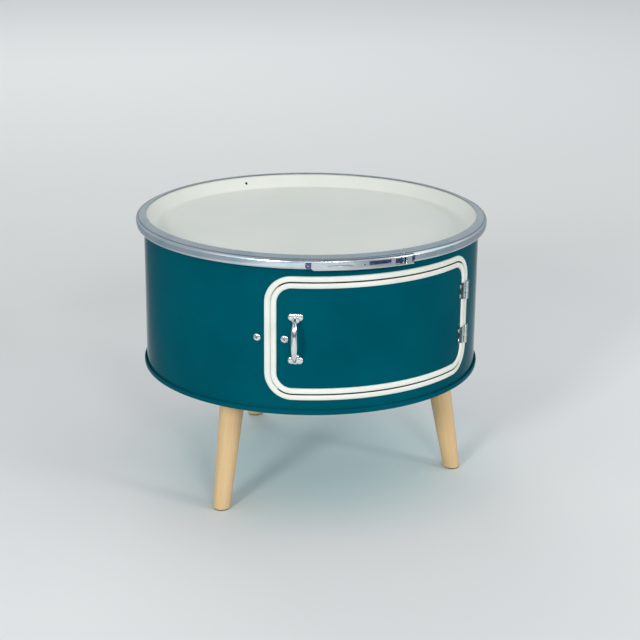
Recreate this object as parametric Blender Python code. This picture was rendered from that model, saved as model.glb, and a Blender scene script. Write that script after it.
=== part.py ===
"""Low round table made from a short open-head steel barrel: clamped lid as the tray top,
a curved door cut from the wall, and three splayed round legs. Metres, +Z up, the door faces -Y."""

import math

import bmesh
import bpy
from mathutils import Matrix, Vector

# Facets and fits
ROUND_SEGMENTS = 48
ARC_SEGMENTS = 5
CORNER_SEGMENTS = 6
SMALL_SEGMENTS = 8
FIT_GAP = 0.0003
OVERRUN = 0.01
CUTTER_SHIFT_SHARE = 0.5

# Barrel wall and its rolled top edge
WALL_RADIUS = 0.2865
SHEET = 0.0012
FLOOR_TO_RIM = 0.2
RIM_TO_DOOR = 0.0348
DOOR_HEIGHT = 0.1858
DOOR_TO_CURL = 0.0319
CURL_RADIUS = 0.0039
CURL_SWEEP = math.radians(265)
WALL_FOOT_GAP = 0.0012
WALL_FOOT_FLARE = 0.0028
WALL_FOOT_RISE = 0.002

# Bottom head and its seam
HEAD_RECESS = 0.0186
HEAD_CORNER = 0.0045
SEAM_WIDTH = 0.0060
SEAM_HEIGHT = 0.0070
SEAM_LEAN = 0.0020

# Lid
PANEL_DEPTH = 0.0100
PANEL_INSET = 0.0210
GROOVE_DEPTH = 0.0010
GROOVE_WIDTH = 0.0100
LID_SHOULDER_INSET = 0.0083
LID_SHOULDER_RISE = 0.0088
LID_CREST_INSET = 0.0045
LID_CREST_RISE = 0.0099
LID_FLANGE_OUTSET = 0.0026
LID_FLANGE_RISE = 0.0074
LID_RIM_GAP = 0.0006
LID_RIM_TOP = 0.0050
LID_RIM_BOTTOM = 0.0020
LID_HOLE_RADIUS = 0.0023
LID_HOLE_DROP_SHARE = 0.35
GASKET_WIDTH = 0.0050
GASKET_LEAN = 0.0017
GASKET_EDGE = 0.0019

# Clamp ring
RING_SHEET = 0.0015
RING_CLEARANCE = 0.0024
RING_FACE_TOP = 0.0070
RING_FACE_BOTTOM = 0.0045
RING_CREASE_IN = 0.0020
RING_CREASE_RISE = 0.0087
RING_CREST_IN = 0.0123
RING_CREST_RISE = 0.0120
RING_EDGE_IN = 0.0167
RING_EDGE_RISE = 0.0112
RING_TOE_IN = 0.0018
RING_TOE_DROP = 0.0069
RING_LIP_IN = 0.0088
RING_LIP_DROP = 0.0057
RING_GAP_ANGLE = math.radians(0.6)
RING_END_ANGLE = math.radians(5.3)

# Ring latch, angles from the door's centre line
LEVER_PIN_ANGLE = math.radians(7)
LINK_PIN_ANGLE = math.radians(3)
HOOK_PIN_ANGLE = math.radians(-10)
LEVER_TIP_ANGLE = math.radians(-24.4)
LEVER_TAB_ANGLE = math.radians(-26.3)
LEVER_BRACKET_END = math.radians(17)
HOOK_BRACKET_END = math.radians(-19)
LATCH_PIN_RADIUS = 0.00135
LATCH_SHEET = 0.0015
LEVER_SEGMENTS = 12
LATCH_HEIGHT = 0.0160
LATCH_DROP = 0.0072
LINK_HEIGHT = 0.0076
HOOK_EYE_HEIGHT = 0.0018
HOOK_PLAY = 0.0006
EYE_TURN = math.radians(300)
HOOK_TURN = math.radians(100)
LEVER_WEB_SETBACK = 0.0040
LEVER_EAR_NOSE = 0.0022
LEVER_TAB_HEIGHT = 0.0100
TAB_HOLE_RADIUS = 0.0024
WINDOW_START = math.radians(-7.1)
WINDOW_END = math.radians(-0.6)
WINDOW_HEIGHT = 0.0052
SIGHT_HOLE_ANGLE = math.radians(-8.9)
SIGHT_HOLE_RADIUS = 0.0012
GRIP_START = math.radians(-18)
GRIP_END = math.radians(-12.3)
GRIP_HEIGHT = 0.0060
GRIP_DEPTH = 0.0006

# Door opening, measured along the wall
DOOR_ARC = 0.374
DOOR_CORNER = 0.0350
DOOR_GAP = 0.0015
TRIM_WIDTH = 0.0092
TRIM_PROUD = 0.0030
TRIM_ROUND = 0.0012
TRIM_BACK_WIDTH = 0.0070
TRIM_BACK = 0.0020
TRIM_EDGE = 0.0020

# Hinges
HINGE_INSET = 0.0545
HINGE_SHEET = 0.0012
HINGE_PIN_RADIUS = 0.0012
HINGE_HEIGHT = 0.0290
HINGE_LIFT = 0.0005
HINGE_NECK = 0.0105
HINGE_RAMP = 0.0022
LOBE_REACH = 0.0160
LOBE_SPREAD = 0.0080
LOBE_RADIUS = 0.0062
LOBE_TURN = math.radians(85)
HINGE_PIN_HEAD = 0.0019
HINGE_PIN_HEAD_HEIGHT = 0.0009
HINGE_SCREW_RADIUS = 0.0015
HINGE_SCREW_HEAD = 0.0029
HINGE_SCREW_HEAD_HEIGHT = 0.0014
HINGE_NUT_RADIUS = 0.0028
HINGE_NUT_HEIGHT = 0.0022
SCREW_SEGMENTS = 6

# Handle
HANDLE_INSET = 0.0405
HANDLE_SPACING = 0.0681
HANDLE_STAND = 0.0230
HANDLE_HALF_WIDTH = 0.0054
HANDLE_NECK_SHARE = 0.55
HANDLE_HALF_DEPTH = 0.0026
HANDLE_SWELL_SHARE = 0.6
HANDLE_STATIONS = 10
FOOT_THICKNESS = 0.0040
FOOT_LOBE_RADIUS = 0.0055
FOOT_LOBE_REACH = 0.0060
FOOT_LOBE_RISE = 0.0015
FOOT_CREST_RADIUS = 0.0050
FOOT_CREST_RISE = 0.0038
FOOT_TOE_RADIUS = 0.0062
FOOT_TOE_DROP = 0.0028
FOOT_OUTLINE_POINTS = 24
FOOT_BEVEL = 0.0012
HANDLE_SCREW_RADIUS = 0.0018
HANDLE_SCREW_HEAD = 0.0036
HANDLE_SCREW_HEAD_HEIGHT = 0.0022
HANDLE_SCREW_DEPTH = 0.0030

# Catch and the two bolts
WALL_BOLT_OUTSET = 0.0215
DOOR_BOLT_INSET = 0.0230
BOLT_DROP = 0.0010
BOLT_RADIUS = 0.0024
BOLT_HEAD = 0.00625
BOLT_HEAD_HEIGHT = 0.0034
BOLT_TAIL = 0.0009
BOLT_SEGMENTS = 14
BOLT_RIM_SHARE = 0.4
BOLT_CROWN_SHARE = 0.6
NUT_RADIUS = 0.0050
NUT_HEIGHT = 0.0036
CATCH_HEIGHT = 0.0200
CATCH_SHEET = 0.0015
CATCH_HEEL = 0.0130
CATCH_TOE_INSET = 0.0170
CATCH_DEPTH = 0.0068
CATCH_RAMP = 0.0040
MAGNET_WIDTH = 0.0075
KEEPER_SHEET = 0.0010
KEEPER_HEEL_INSET = 0.0300
KEEPER_TOE_INSET = 0.0095

# Legs
LEG_COUNT = 3
LEG_FOOT_INSET = 0.0315
LEG_SPLAY = math.radians(9.9)
LEG_FOOT_RADIUS = 0.0144
LEG_TOP_RADIUS = 0.0216
LEG_SEGMENTS = 20
LEG_CHAMFER = 0.0018
GLIDE_HEIGHT = 0.0020
GLIDE_INSET = 0.0018
PLATE_WIDTH = 0.0640
PLATE_SHEET = 0.0025
PLATE_CORNER = 0.0100
BOSS_RADIUS = 0.0205
BOSS_HEIGHT = 0.0062
STUD_RADIUS = 0.0040
STUD_DEPTH = 0.0280
RIVET_RADIUS = 0.0022
RIVET_HEAD = 0.0042
RIVET_HEAD_HEIGHT = 0.0014
RIVET_SET = 0.0034
RIVET_INSET = 0.0100

# Heights and radii that follow from the sizes above
WALL_MID = WALL_RADIUS - SHEET / 2
WALL_INSIDE = WALL_RADIUS - SHEET
TRIM_GAP = FIT_GAP / 3 + WALL_RADIUS * (1 - math.cos(math.pi / ROUND_SEGMENTS))
CURL_HEIGHT = FLOOR_TO_RIM + RIM_TO_DOOR + DOOR_HEIGHT + DOOR_TO_CURL
CURL_CENTRE = WALL_MID + CURL_RADIUS
CURL_TOP = CURL_HEIGHT + CURL_RADIUS + SHEET / 2
CURL_EDGE = CURL_CENTRE + CURL_RADIUS + SHEET / 2
PANEL_RADIUS = WALL_RADIUS - PANEL_INSET
RING_RADIUS = CURL_EDGE + LID_RIM_GAP + SHEET + RING_CLEARANCE + RING_SHEET
RING_MID = RING_RADIUS - RING_SHEET / 2
LATCH_EYE = LATCH_PIN_RADIUS + FIT_GAP + LATCH_SHEET / 2
LATCH_PIN_DISTANCE = RING_RADIUS + FIT_GAP + LATCH_SHEET / 2 + LATCH_EYE
LATCH_BOTTOM = CURL_HEIGHT - LATCH_DROP
LATCH_MIDDLE = LATCH_BOTTOM + LATCH_HEIGHT / 2
LEVER_WEB_INSIDE = LATCH_PIN_DISTANCE + LATCH_EYE + LATCH_SHEET / 2 + FIT_GAP
HINGE_EYE = HINGE_PIN_RADIUS + FIT_GAP + HINGE_SHEET / 2
HINGE_PIN_DISTANCE = WALL_RADIUS + TRIM_PROUD + HINGE_LIFT + HINGE_SHEET / 2 + HINGE_EYE
HINGE_ANGLE = DOOR_ARC / 2 / WALL_RADIUS
DOOR_CENTRE = FLOOR_TO_RIM + RIM_TO_DOOR + DOOR_HEIGHT / 2
HINGE_OFFSET = DOOR_HEIGHT / 2 - HINGE_INSET
HANDLE_ARC = DOOR_ARC / 2 - HANDLE_INSET
WALL_BOLT_ARC = DOOR_ARC / 2 + WALL_BOLT_OUTSET
DOOR_BOLT_ARC = DOOR_ARC / 2 - DOOR_BOLT_INSET
CATCH_TOE_ARC = DOOR_ARC / 2 - CATCH_TOE_INSET
KEEPER_HEEL_ARC = DOOR_ARC / 2 - KEEPER_HEEL_INSET
KEEPER_TOE_ARC = DOOR_ARC / 2 - KEEPER_TOE_INSET
LEG_FOOT_DISTANCE = WALL_RADIUS - LEG_FOOT_INSET
HEAD_UNDERSIDE = FLOOR_TO_RIM + HEAD_RECESS - SHEET


def clear_scene():
    for thing in list(bpy.data.objects):
        bpy.data.objects.remove(thing, do_unlink=True)


def material(name, colour, roughness, metallic=0.0):
    made = bpy.data.materials.new(name)
    made.use_nodes = True
    shader = made.node_tree.nodes["Principled BSDF"]
    shader.inputs["Base Color"].default_value = (*colour, 1.0)
    shader.inputs["Roughness"].default_value = roughness
    shader.inputs["Metallic"].default_value = metallic
    made.diffuse_color = (*colour, 1.0)
    return made


def finish_mesh(name, shape, look, angle=0.0, parent=None, cutter=False):
    """Turns a bmesh, drawn at the front of the barrel, into an object turned to its own angle."""
    bmesh.ops.remove_doubles(shape, verts=shape.verts, dist=FIT_GAP / 100)
    bmesh.ops.recalc_face_normals(shape, faces=shape.faces)
    mesh = bpy.data.meshes.new(name)
    shape.to_mesh(mesh)
    shape.free()
    mesh.shade_smooth()
    mesh.set_sharp_from_angle(angle=math.radians(35))
    thing = bpy.data.objects.new(name, mesh)
    bpy.context.scene.collection.objects.link(thing)
    thing.rotation_euler.z = angle
    if look:
        mesh.materials.append(look)
    if parent:
        thing.parent = parent
        thing.matrix_parent_inverse = Matrix.Translation(-parent.location)
    if cutter:
        thing.hide_render = True
        thing.display_type = "WIRE"
    return thing


def axis_empty(name, distance, angle, height):
    """An empty on a vertical joint axis, its parts are hung on it."""
    empty = bpy.data.objects.new(name, None)
    bpy.context.scene.collection.objects.link(empty)
    empty.location = (distance * math.sin(angle), -distance * math.cos(angle), height)
    return empty


def boolean(target, tool, operation="DIFFERENCE"):
    cut = target.modifiers.new(tool.name, "BOOLEAN")
    cut.operation = operation
    cut.object = tool


def thicken(path, thickness):
    """Closed outline of a sheet bent along a path of points in a plane."""
    half = thickness / 2
    points = [Vector(p) for p in path]
    sides = ([], [])
    for i, point in enumerate(points):
        before = (point - points[i - 1]).normalized() if i else None
        after = (points[i + 1] - point).normalized() if i + 1 < len(points) else None
        ways = [w for w in (before, after) if w is not None]
        normals = [Vector((-w.y, w.x)) for w in ways]
        middle = sum(normals, Vector((0, 0))).normalized()
        reach = half / max(middle.dot(normals[0]), 0.5)
        sides[0].append(point + middle * reach)
        sides[1].append(point - middle * reach)
    return sides[0] + sides[1][::-1]


def arc(centre, radius, start, turn, steps):
    """Points on an arc, in a plane, from a start angle through a signed turn."""
    angles = [start + turn * i / steps for i in range(steps + 1)]
    return [(centre[0] + radius * math.cos(a), centre[1] + radius * math.sin(a)) for a in angles]


def loop_edges(shape, points, closed=True):
    verts = [shape.verts.new(p) for p in points]
    pairs = zip(verts, verts[1:] + verts[:1]) if closed else zip(verts, verts[1:])
    return verts, [shape.edges.new(pair) for pair in pairs]


def revolve(outline, steps, turn=math.tau, start=0.0):
    """Spins a closed outline of (radius, height) points round Z. A part turn gets its two end faces."""
    shape = bmesh.new()
    spin_from = Matrix.Rotation(start, 4, "Z")
    points = [spin_from @ Vector((0, -r, z)) for r, z in outline]
    verts, edges = loop_edges(shape, points)
    whole = abs(turn - math.tau) < 1e-6
    bmesh.ops.spin(
        shape, geom=verts + edges, axis=(0, 0, 1), cent=(0, 0, 0), angle=turn, steps=steps,
        use_merge=whole, use_duplicate=False,
    )
    bmesh.ops.remove_doubles(shape, verts=shape.verts, dist=FIT_GAP / 100)
    if not whole:
        rims = [e for e in shape.edges if e.is_boundary]
        bmesh.ops.holes_fill(shape, edges=rims, sides=0)
    return shape


def revolve_disc(top, bottom, steps):
    """Spins the two chains of a sheet disc, each from the axis outwards, into one closed solid."""
    shape = bmesh.new()
    chain = [Vector((0, -r, z)) for r, z in top + bottom[::-1]]
    verts, edges = loop_edges(shape, chain, closed=False)
    bmesh.ops.spin(
        shape, geom=verts + edges, axis=(0, 0, 1), cent=(0, 0, 0), angle=math.tau, steps=steps,
        use_merge=True, use_duplicate=False,
    )
    bmesh.ops.remove_doubles(shape, verts=shape.verts, dist=FIT_GAP / 100)
    flat = [e for e in shape.edges if e.calc_length() < FIT_GAP / 100]
    bmesh.ops.dissolve_degenerate(shape, dist=FIT_GAP / 100, edges=flat)
    return shape


def add_prism(shape, outline, low, high, place=lambda x, y, z: Vector((x, y, z))):
    """Adds a straight prism over an outline to a bmesh. place maps each corner into the part."""
    face = shape.faces.new([shape.verts.new(place(x, y, low)) for x, y in outline])
    made = bmesh.ops.extrude_face_region(shape, geom=[face])
    tops = [v for v in made["geom"] if isinstance(v, bmesh.types.BMVert)]
    for vert, (x, y) in zip(tops, outline):
        vert.co = place(x, y, high)
    return shape


def prism(outline, low, high):
    return add_prism(bmesh.new(), outline, low, high)


def on_wall(arc_length, height, distance):
    """A point on the barrel: arc length at the wall from the door's middle, height, radius."""
    angle = arc_length / WALL_RADIUS
    return Vector((distance * math.sin(angle), -distance * math.cos(angle), height))


def plan(distance, angle):
    """Seen from above: a point at a radius and an angle from the door's centre line."""
    return (distance * math.sin(angle), -distance * math.cos(angle))


def plan_arc(distance, start, end, steps):
    return [plan(distance, start + (end - start) * i / steps) for i in range(steps + 1)]


def door_outline(offset, facets=True):
    """Rounded outline of the door, moved outwards by an offset. (arc, height) with edge normals.
    With facets, its long sides have a point wherever the wall has an edge."""
    radius = DOOR_CORNER
    half = (DOOR_ARC / 2 - radius, DOOR_HEIGHT / 2 - radius)
    turn = math.pi / 2
    stations = []
    pitch = math.tau / ROUND_SEGMENTS * WALL_RADIUS
    for corner, (sx, sz) in enumerate([(1, 1), (-1, 1), (-1, -1), (1, -1)]):
        for step in range(CORNER_SEGMENTS + 1):
            a = turn * (corner + step / CORNER_SEGMENTS)
            normal = (math.cos(a), math.sin(a))
            stations.append((sx * half[0], sz * half[1], *normal))
        if facets and corner in (0, 2):
            reach = int(half[0] / pitch)
            for i in range(-reach, reach + 1):
                stations.append((-sx * i * pitch, sz * half[1], 0.0, float(sz)))
    return [
        (x + (radius + offset) * nx, DOOR_CENTRE + z + (radius + offset) * nz, nx, nz)
        for x, z, nx, nz in stations
    ]


def wall_pad(outline, inner, outer, shift_share=0.0):
    """A closed plate that follows the wall: an (arc, height) outline between two radii.
    shift_share moves its own facets round, so that a cutter's edges miss the wall's."""
    shape = bmesh.new()
    face = shape.faces.new([shape.verts.new((x, 0, z)) for x, z in outline])
    pitch = math.tau / ROUND_SEGMENTS * WALL_RADIUS
    reach = max(abs(x) for x, z in outline)
    count = int(reach / pitch) + 2
    lines = [(i + shift_share) * pitch for i in range(-count, count)]
    for x in lines:
        everything = shape.verts[:] + shape.edges[:] + shape.faces[:]
        bmesh.ops.bisect_plane(shape, geom=everything, dist=FIT_GAP / 100, plane_co=(x, 0, 0),
                               plane_no=(1, 0, 0))
    made = bmesh.ops.extrude_face_region(shape, geom=shape.faces[:])
    fronts = [v for v in made["geom"] if isinstance(v, bmesh.types.BMVert)]
    marked = set(fronts)
    for vert in shape.verts:
        vert.co = on_wall(vert.co.x, vert.co.z, outer if vert in marked else inner)
    return shape


def add_turned(shape, outline, place, steps=SMALL_SEGMENTS):
    """Adds a small turned piece to a bmesh: (radius, along) points, placed by a matrix."""
    rings = []
    for r, along in outline:
        ring = []
        for i in range(steps):
            a = math.tau * i / steps
            ring.append(shape.verts.new(place @ Vector((r * math.cos(a), r * math.sin(a), along))))
        rings.append(ring)
    for low, high in zip(rings, rings[1:]):
        for i in range(steps):
            j = (i + 1) % steps
            shape.faces.new((low[i], low[j], high[j], high[i]))
    shape.faces.new(rings[0][::-1])
    shape.faces.new(rings[-1])
    return shape


def outward(arc_length, height, distance):
    """A matrix whose Z points out of the wall, at a place on it."""
    angle = arc_length / WALL_RADIUS
    turn = Matrix.Rotation(angle, 4, "Z") @ Matrix.Rotation(math.pi / 2, 4, "X")
    return Matrix.Translation(on_wall(arc_length, height, distance)) @ turn


def add_nut(shape, place, low, bore):
    """Adds a six-sided nut with a clear bore."""
    rings = []
    for radius, along in ((NUT_RADIUS, low), (NUT_RADIUS, low + NUT_HEIGHT),
                          (bore, low + NUT_HEIGHT), (bore, low)):
        ring = [
            shape.verts.new(place @ Vector((radius * math.cos(a), radius * math.sin(a), along)))
            for a in (math.tau * i / 6 for i in range(6))
        ]
        rings.append(ring)
    for one, two in zip(rings, rings[1:] + rings[:1]):
        for i in range(6):
            j = (i + 1) % 6
            shape.faces.new((one[i], one[j], two[j], two[i]))


def rounded_rectangle(width, height, radius, steps=3):
    corners = []
    for corner, (sx, sy) in enumerate([(1, 1), (-1, 1), (-1, -1), (1, -1)]):
        centre = (sx * (width / 2 - radius), sy * (height / 2 - radius))
        corners += arc(centre, radius, math.pi / 2 * corner, math.pi / 2, steps)
    return corners


def lobed_outline(lobes, count):
    """Outline round several circles, as far as each ray from the centre reaches."""
    points = []
    for i in range(count):
        a = math.tau * i / count
        ray = Vector((math.cos(a), math.sin(a)))
        reach = 0.0
        for x, y, radius in lobes:
            along = ray.dot(Vector((x, y)))
            inside = along * along - x * x - y * y + radius * radius
            if inside > 0:
                reach = max(reach, along + math.sqrt(inside))
        points.append((ray.x * reach, ray.y * reach))
    return points


def drum_shell(paint):
    """Wall with a flared foot inside the seam and an open rolled curl at the top."""
    foot = FLOOR_TO_RIM + SHEET + WALL_FOOT_GAP
    path = [(WALL_MID + WALL_FOOT_FLARE, foot), (WALL_MID, foot + WALL_FOOT_RISE)]
    curl = arc((CURL_CENTRE, CURL_HEIGHT), CURL_RADIUS, math.pi, -CURL_SWEEP, ARC_SEGMENTS + 1)
    shape = revolve(thicken(path + curl, SHEET), ROUND_SEGMENTS)
    shell = finish_mesh("drum_shell", shape, paint)
    gap_line = [(x, z) for x, z, nx, nz in door_outline(sheet_edge_offset(), facets=False)]
    opening = wall_pad(gap_line, WALL_INSIDE - OVERRUN, WALL_RADIUS + OVERRUN, CUTTER_SHIFT_SHARE)
    boolean(shell, finish_mesh("cut_door_opening", opening, None, cutter=True))
    holes = hole_cutter(frame_screw_places() + [(-WALL_BOLT_ARC, bolt_height())],
                        [HINGE_SCREW_RADIUS] * 4 + [BOLT_RADIUS])
    boolean(shell, finish_mesh("cut_wall_holes", holes, None, cutter=True))
    return shell


def sheet_edge_offset():
    """How far the wall's cut edge lies outside the gap's middle line, behind the trim's edge."""
    return DOOR_GAP / 2 + TRIM_EDGE + FIT_GAP


def hole_cutter(places, radii):
    shape = bmesh.new()
    for (x, z), radius in zip(places, radii):
        clear = radius + FIT_GAP
        ends = [(clear, -OVERRUN), (clear, OVERRUN)]
        add_turned(shape, ends, outward(x, z, WALL_MID))
    return shape


def frame_screw_places():
    side = DOOR_ARC / 2 + LOBE_REACH
    return [(side, z + dz) for z in hinge_heights() for dz in (LOBE_SPREAD, -LOBE_SPREAD)]


def door_screw_places():
    side = DOOR_ARC / 2 - LOBE_REACH
    return [(side, z + dz) for z in hinge_heights() for dz in (LOBE_SPREAD, -LOBE_SPREAD)]


def hinge_heights():
    return [DOOR_CENTRE + HINGE_OFFSET, DOOR_CENTRE - HINGE_OFFSET]


def bolt_height():
    return DOOR_CENTRE - BOLT_DROP


def drum_bottom(paint):
    """Head sunk inside the wall, its edge folded down and out round the wall's foot."""
    level = FLOOR_TO_RIM + HEAD_RECESS - SHEET / 2
    side = WALL_INSIDE - TRIM_GAP - SHEET / 2
    fold = FLOOR_TO_RIM + SHEET / 2
    seam = side + SEAM_WIDTH
    path = [
        (0, level),
        (side - HEAD_CORNER, level),
        (side, level - HEAD_CORNER),
        (side, fold + SHEET),
        (side + SHEET, fold),
        (seam - SHEET, fold),
        (seam, fold + SHEET),
        (seam, fold + SEAM_HEIGHT - SEAM_LEAN),
        (seam - SEAM_LEAN, fold + SEAM_HEIGHT),
    ]
    both = thicken(path, SHEET)
    upper, lower = both[: len(path)], both[len(path):][::-1]
    return finish_mesh("drum_bottom", revolve_disc(upper, lower, ROUND_SEGMENTS), paint)


def lid_path():
    """Middle line of the lid from its centre outwards: panel, groove, wall, crest, flange, rim."""
    panel = CURL_HEIGHT - PANEL_DEPTH - SHEET / 2
    groove = PANEL_RADIUS - GROOVE_WIDTH
    rim = CURL_EDGE + LID_RIM_GAP + SHEET / 2
    return [
        (0, panel),
        (groove - GROOVE_WIDTH, panel),
        (groove, panel - GROOVE_DEPTH),
        (PANEL_RADIUS, panel),
        (CURL_CENTRE - LID_SHOULDER_INSET, CURL_HEIGHT + LID_SHOULDER_RISE),
        (CURL_CENTRE - LID_CREST_INSET, CURL_HEIGHT + LID_CREST_RISE),
        (CURL_CENTRE + LID_FLANGE_OUTSET, CURL_HEIGHT + LID_FLANGE_RISE),
        (rim, CURL_HEIGHT + LID_RIM_TOP),
        (rim, CURL_HEIGHT + LID_RIM_BOTTOM),
    ]


def lid(paint):
    path = lid_path()
    both = thicken(path, SHEET)
    upper, lower = both[: len(path)], both[len(path):][::-1]
    top = finish_mesh("lid", revolve_disc(upper, lower, ROUND_SEGMENTS), paint)
    low, high = path[3], path[4]
    radius = high[0] + (low[0] - high[0]) * LID_HOLE_DROP_SHARE
    height = high[1] + (low[1] - high[1]) * LID_HOLE_DROP_SHARE
    back = math.pi * WALL_RADIUS
    hole = add_turned(bmesh.new(), [(LID_HOLE_RADIUS, -OVERRUN), (LID_HOLE_RADIUS, OVERRUN)],
                      outward(back, height, radius))
    boolean(top, finish_mesh("cut_hanging_hole", hole, None, cutter=True))
    return top


def lid_gasket(rubber):
    inner = CURL_CENTRE - GASKET_WIDTH / 2
    outer = CURL_CENTRE + GASKET_WIDTH / 2
    seat = CURL_TOP + FIT_GAP
    outline = [(inner, seat), (outer, seat), (outer, seat + GASKET_EDGE),
               (inner, seat + GASKET_EDGE + GASKET_LEAN)]
    return finish_mesh("lid_gasket", revolve(outline, ROUND_SEGMENTS), rubber)


def clamp_ring(zinc):
    """C-section ring, open at the front, over the lid's crest and under the curl."""
    face = RING_MID
    level = CURL_HEIGHT
    path = [
        (face - RING_EDGE_IN, level + RING_EDGE_RISE),
        (face - RING_CREST_IN, level + RING_CREST_RISE),
        (face - RING_CREASE_IN, level + RING_CREASE_RISE),
        (face, level + RING_FACE_TOP),
        (face, level - RING_FACE_BOTTOM),
        (face - RING_TOE_IN, level - RING_TOE_DROP),
        (face - RING_LIP_IN, level - RING_LIP_DROP),
    ]
    turn = math.tau - RING_GAP_ANGLE
    steps = ROUND_SEGMENTS - 1
    shape = revolve(thicken(path, RING_SHEET), steps, turn, RING_END_ANGLE)
    return finish_mesh("clamp_ring", shape, zinc)


def local_to_plan(centre_angle, point, distance):
    """Turns (along the ring, outwards) offsets from a pin into plan coordinates."""
    turn = Matrix.Rotation(centre_angle, 2)
    return tuple(Vector(plan(distance, centre_angle)) + turn @ Vector((point[0], -point[1])))


def rolled_eye(pin_angle, distance, radius, start, turn, steps=ARC_SEGMENTS + 3, inset=0.0):
    """Middle line of a sheet rolled round a pin. Angles run from the ring's tangent, outwards."""
    bend = arc((0, -inset), radius, start, turn, steps)
    return [local_to_plan(pin_angle, p, distance) for p in bend]


def lever_bracket(zinc):
    """Strap welded on the ring's right end, its middle rolled round the lever's pin."""
    seat = RING_RADIUS + FIT_GAP + LATCH_SHEET / 2
    strap = plan_arc(seat, LEVER_BRACKET_END, LEVER_PIN_ANGLE, 2)[:-1]
    eye = rolled_eye(LEVER_PIN_ANGLE, LATCH_PIN_DISTANCE, LATCH_EYE, -math.pi / 2, -EYE_TURN)
    low = LATCH_MIDDLE - LINK_HEIGHT / 2
    shape = prism(thicken(strap + eye, LATCH_SHEET), low, low + LINK_HEIGHT)
    return finish_mesh("lever_bracket", shape, zinc)


def hook_bracket(zinc):
    """Strap welded on the ring's left end, with an eye above and below the hook."""
    seat = RING_RADIUS + FIT_GAP + LATCH_SHEET / 2
    strap = plan_arc(seat, HOOK_BRACKET_END, HOOK_PIN_ANGLE, 2)[:-1]
    eye = rolled_eye(HOOK_PIN_ANGLE, LATCH_PIN_DISTANCE, LATCH_EYE, -math.pi / 2, EYE_TURN)
    outer = LINK_HEIGHT / 2 + FIT_GAP + HOOK_EYE_HEIGHT
    shape = prism(thicken(strap + eye, LATCH_SHEET), LATCH_MIDDLE - outer, LATCH_MIDDLE + outer)
    bracket = finish_mesh("hook_bracket", shape, zinc)
    room = LINK_HEIGHT / 2 + FIT_GAP
    reach = LATCH_EYE + LATCH_SHEET + HOOK_PLAY
    inner = -LATCH_EYE + LATCH_SHEET / 2
    corners = [(-reach * 2, inner), (reach, -reach), (reach, reach), (-reach * 2, reach)]
    outline = [local_to_plan(HOOK_PIN_ANGLE, p, LATCH_PIN_DISTANCE) for p in corners]
    tool = prism(outline, LATCH_MIDDLE - room, LATCH_MIDDLE + room)
    boolean(bracket, finish_mesh("cut_hook_room", tool, None, cutter=True))
    return bracket


def pin(name, angle, distance, radius, low, high, look, parent=None, head=0.0, head_height=0.0):
    """A plain pin, or one with a round head above and below."""
    outline = [(radius, low), (radius, high)]
    if head:
        outline = [(head, low - head_height), (head, low), (radius, low),
                   (radius, high), (head, high), (head, high + head_height)]
    x, y = plan(distance, angle)
    shape = add_turned(bmesh.new(), outline, Matrix.Translation((x, y, 0)))
    return finish_mesh(name, shape, look, parent=parent)


def clamp_lever(zinc, parent):
    """Folded channel, open towards the ring: a curved web and two ears with the pin's holes."""
    outer = LEVER_WEB_INSIDE + LATCH_SHEET
    setback = LEVER_PIN_ANGLE - LEVER_WEB_SETBACK / LATCH_PIN_DISTANCE
    low, high = LATCH_BOTTOM, LATCH_BOTTOM + LATCH_HEIGHT
    nose = rolled_eye(LEVER_PIN_ANGLE, LATCH_PIN_DISTANCE, LEVER_EAR_NOSE, math.pi / 2, -math.pi, 4)
    ear = (plan_arc(outer, LEVER_TAB_ANGLE, setback, LEVER_SEGMENTS) + nose
           + plan_arc(LATCH_PIN_DISTANCE - LEVER_EAR_NOSE, setback, LEVER_TAB_ANGLE, LEVER_SEGMENTS // 2))
    lever = finish_mesh("clamp_lever", prism(ear, low, high), zinc, parent=parent)
    ends = (LEVER_TAB_ANGLE - OVERRUN / RING_RADIUS, LEVER_PIN_ANGLE + OVERRUN / RING_RADIUS)
    hollow = (plan_arc(LEVER_WEB_INSIDE, *ends, LEVER_SEGMENTS)
              + plan_arc(RING_RADIUS - OVERRUN, *ends[::-1], LEVER_SEGMENTS))
    tool = prism(hollow, low + LATCH_SHEET, high - LATCH_SHEET)
    boolean(lever, finish_mesh("cut_lever_channel", tool, None, parent=parent, cutter=True))
    bores = bmesh.new()
    clear = LATCH_PIN_RADIUS + FIT_GAP
    for angle in (LEVER_PIN_ANGLE, LINK_PIN_ANGLE):
        x, y = plan(LATCH_PIN_DISTANCE, angle)
        add_turned(bores, [(clear, low - OVERRUN), (clear, high + OVERRUN)], Matrix.Translation((x, y, 0)))
    boolean(lever, finish_mesh("cut_lever_bores", bores, None, parent=parent, cutter=True))
    boolean(lever, finish_mesh("cut_lever_web", lever_web_cuts(), None, parent=parent, cutter=True))
    return lever


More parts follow.
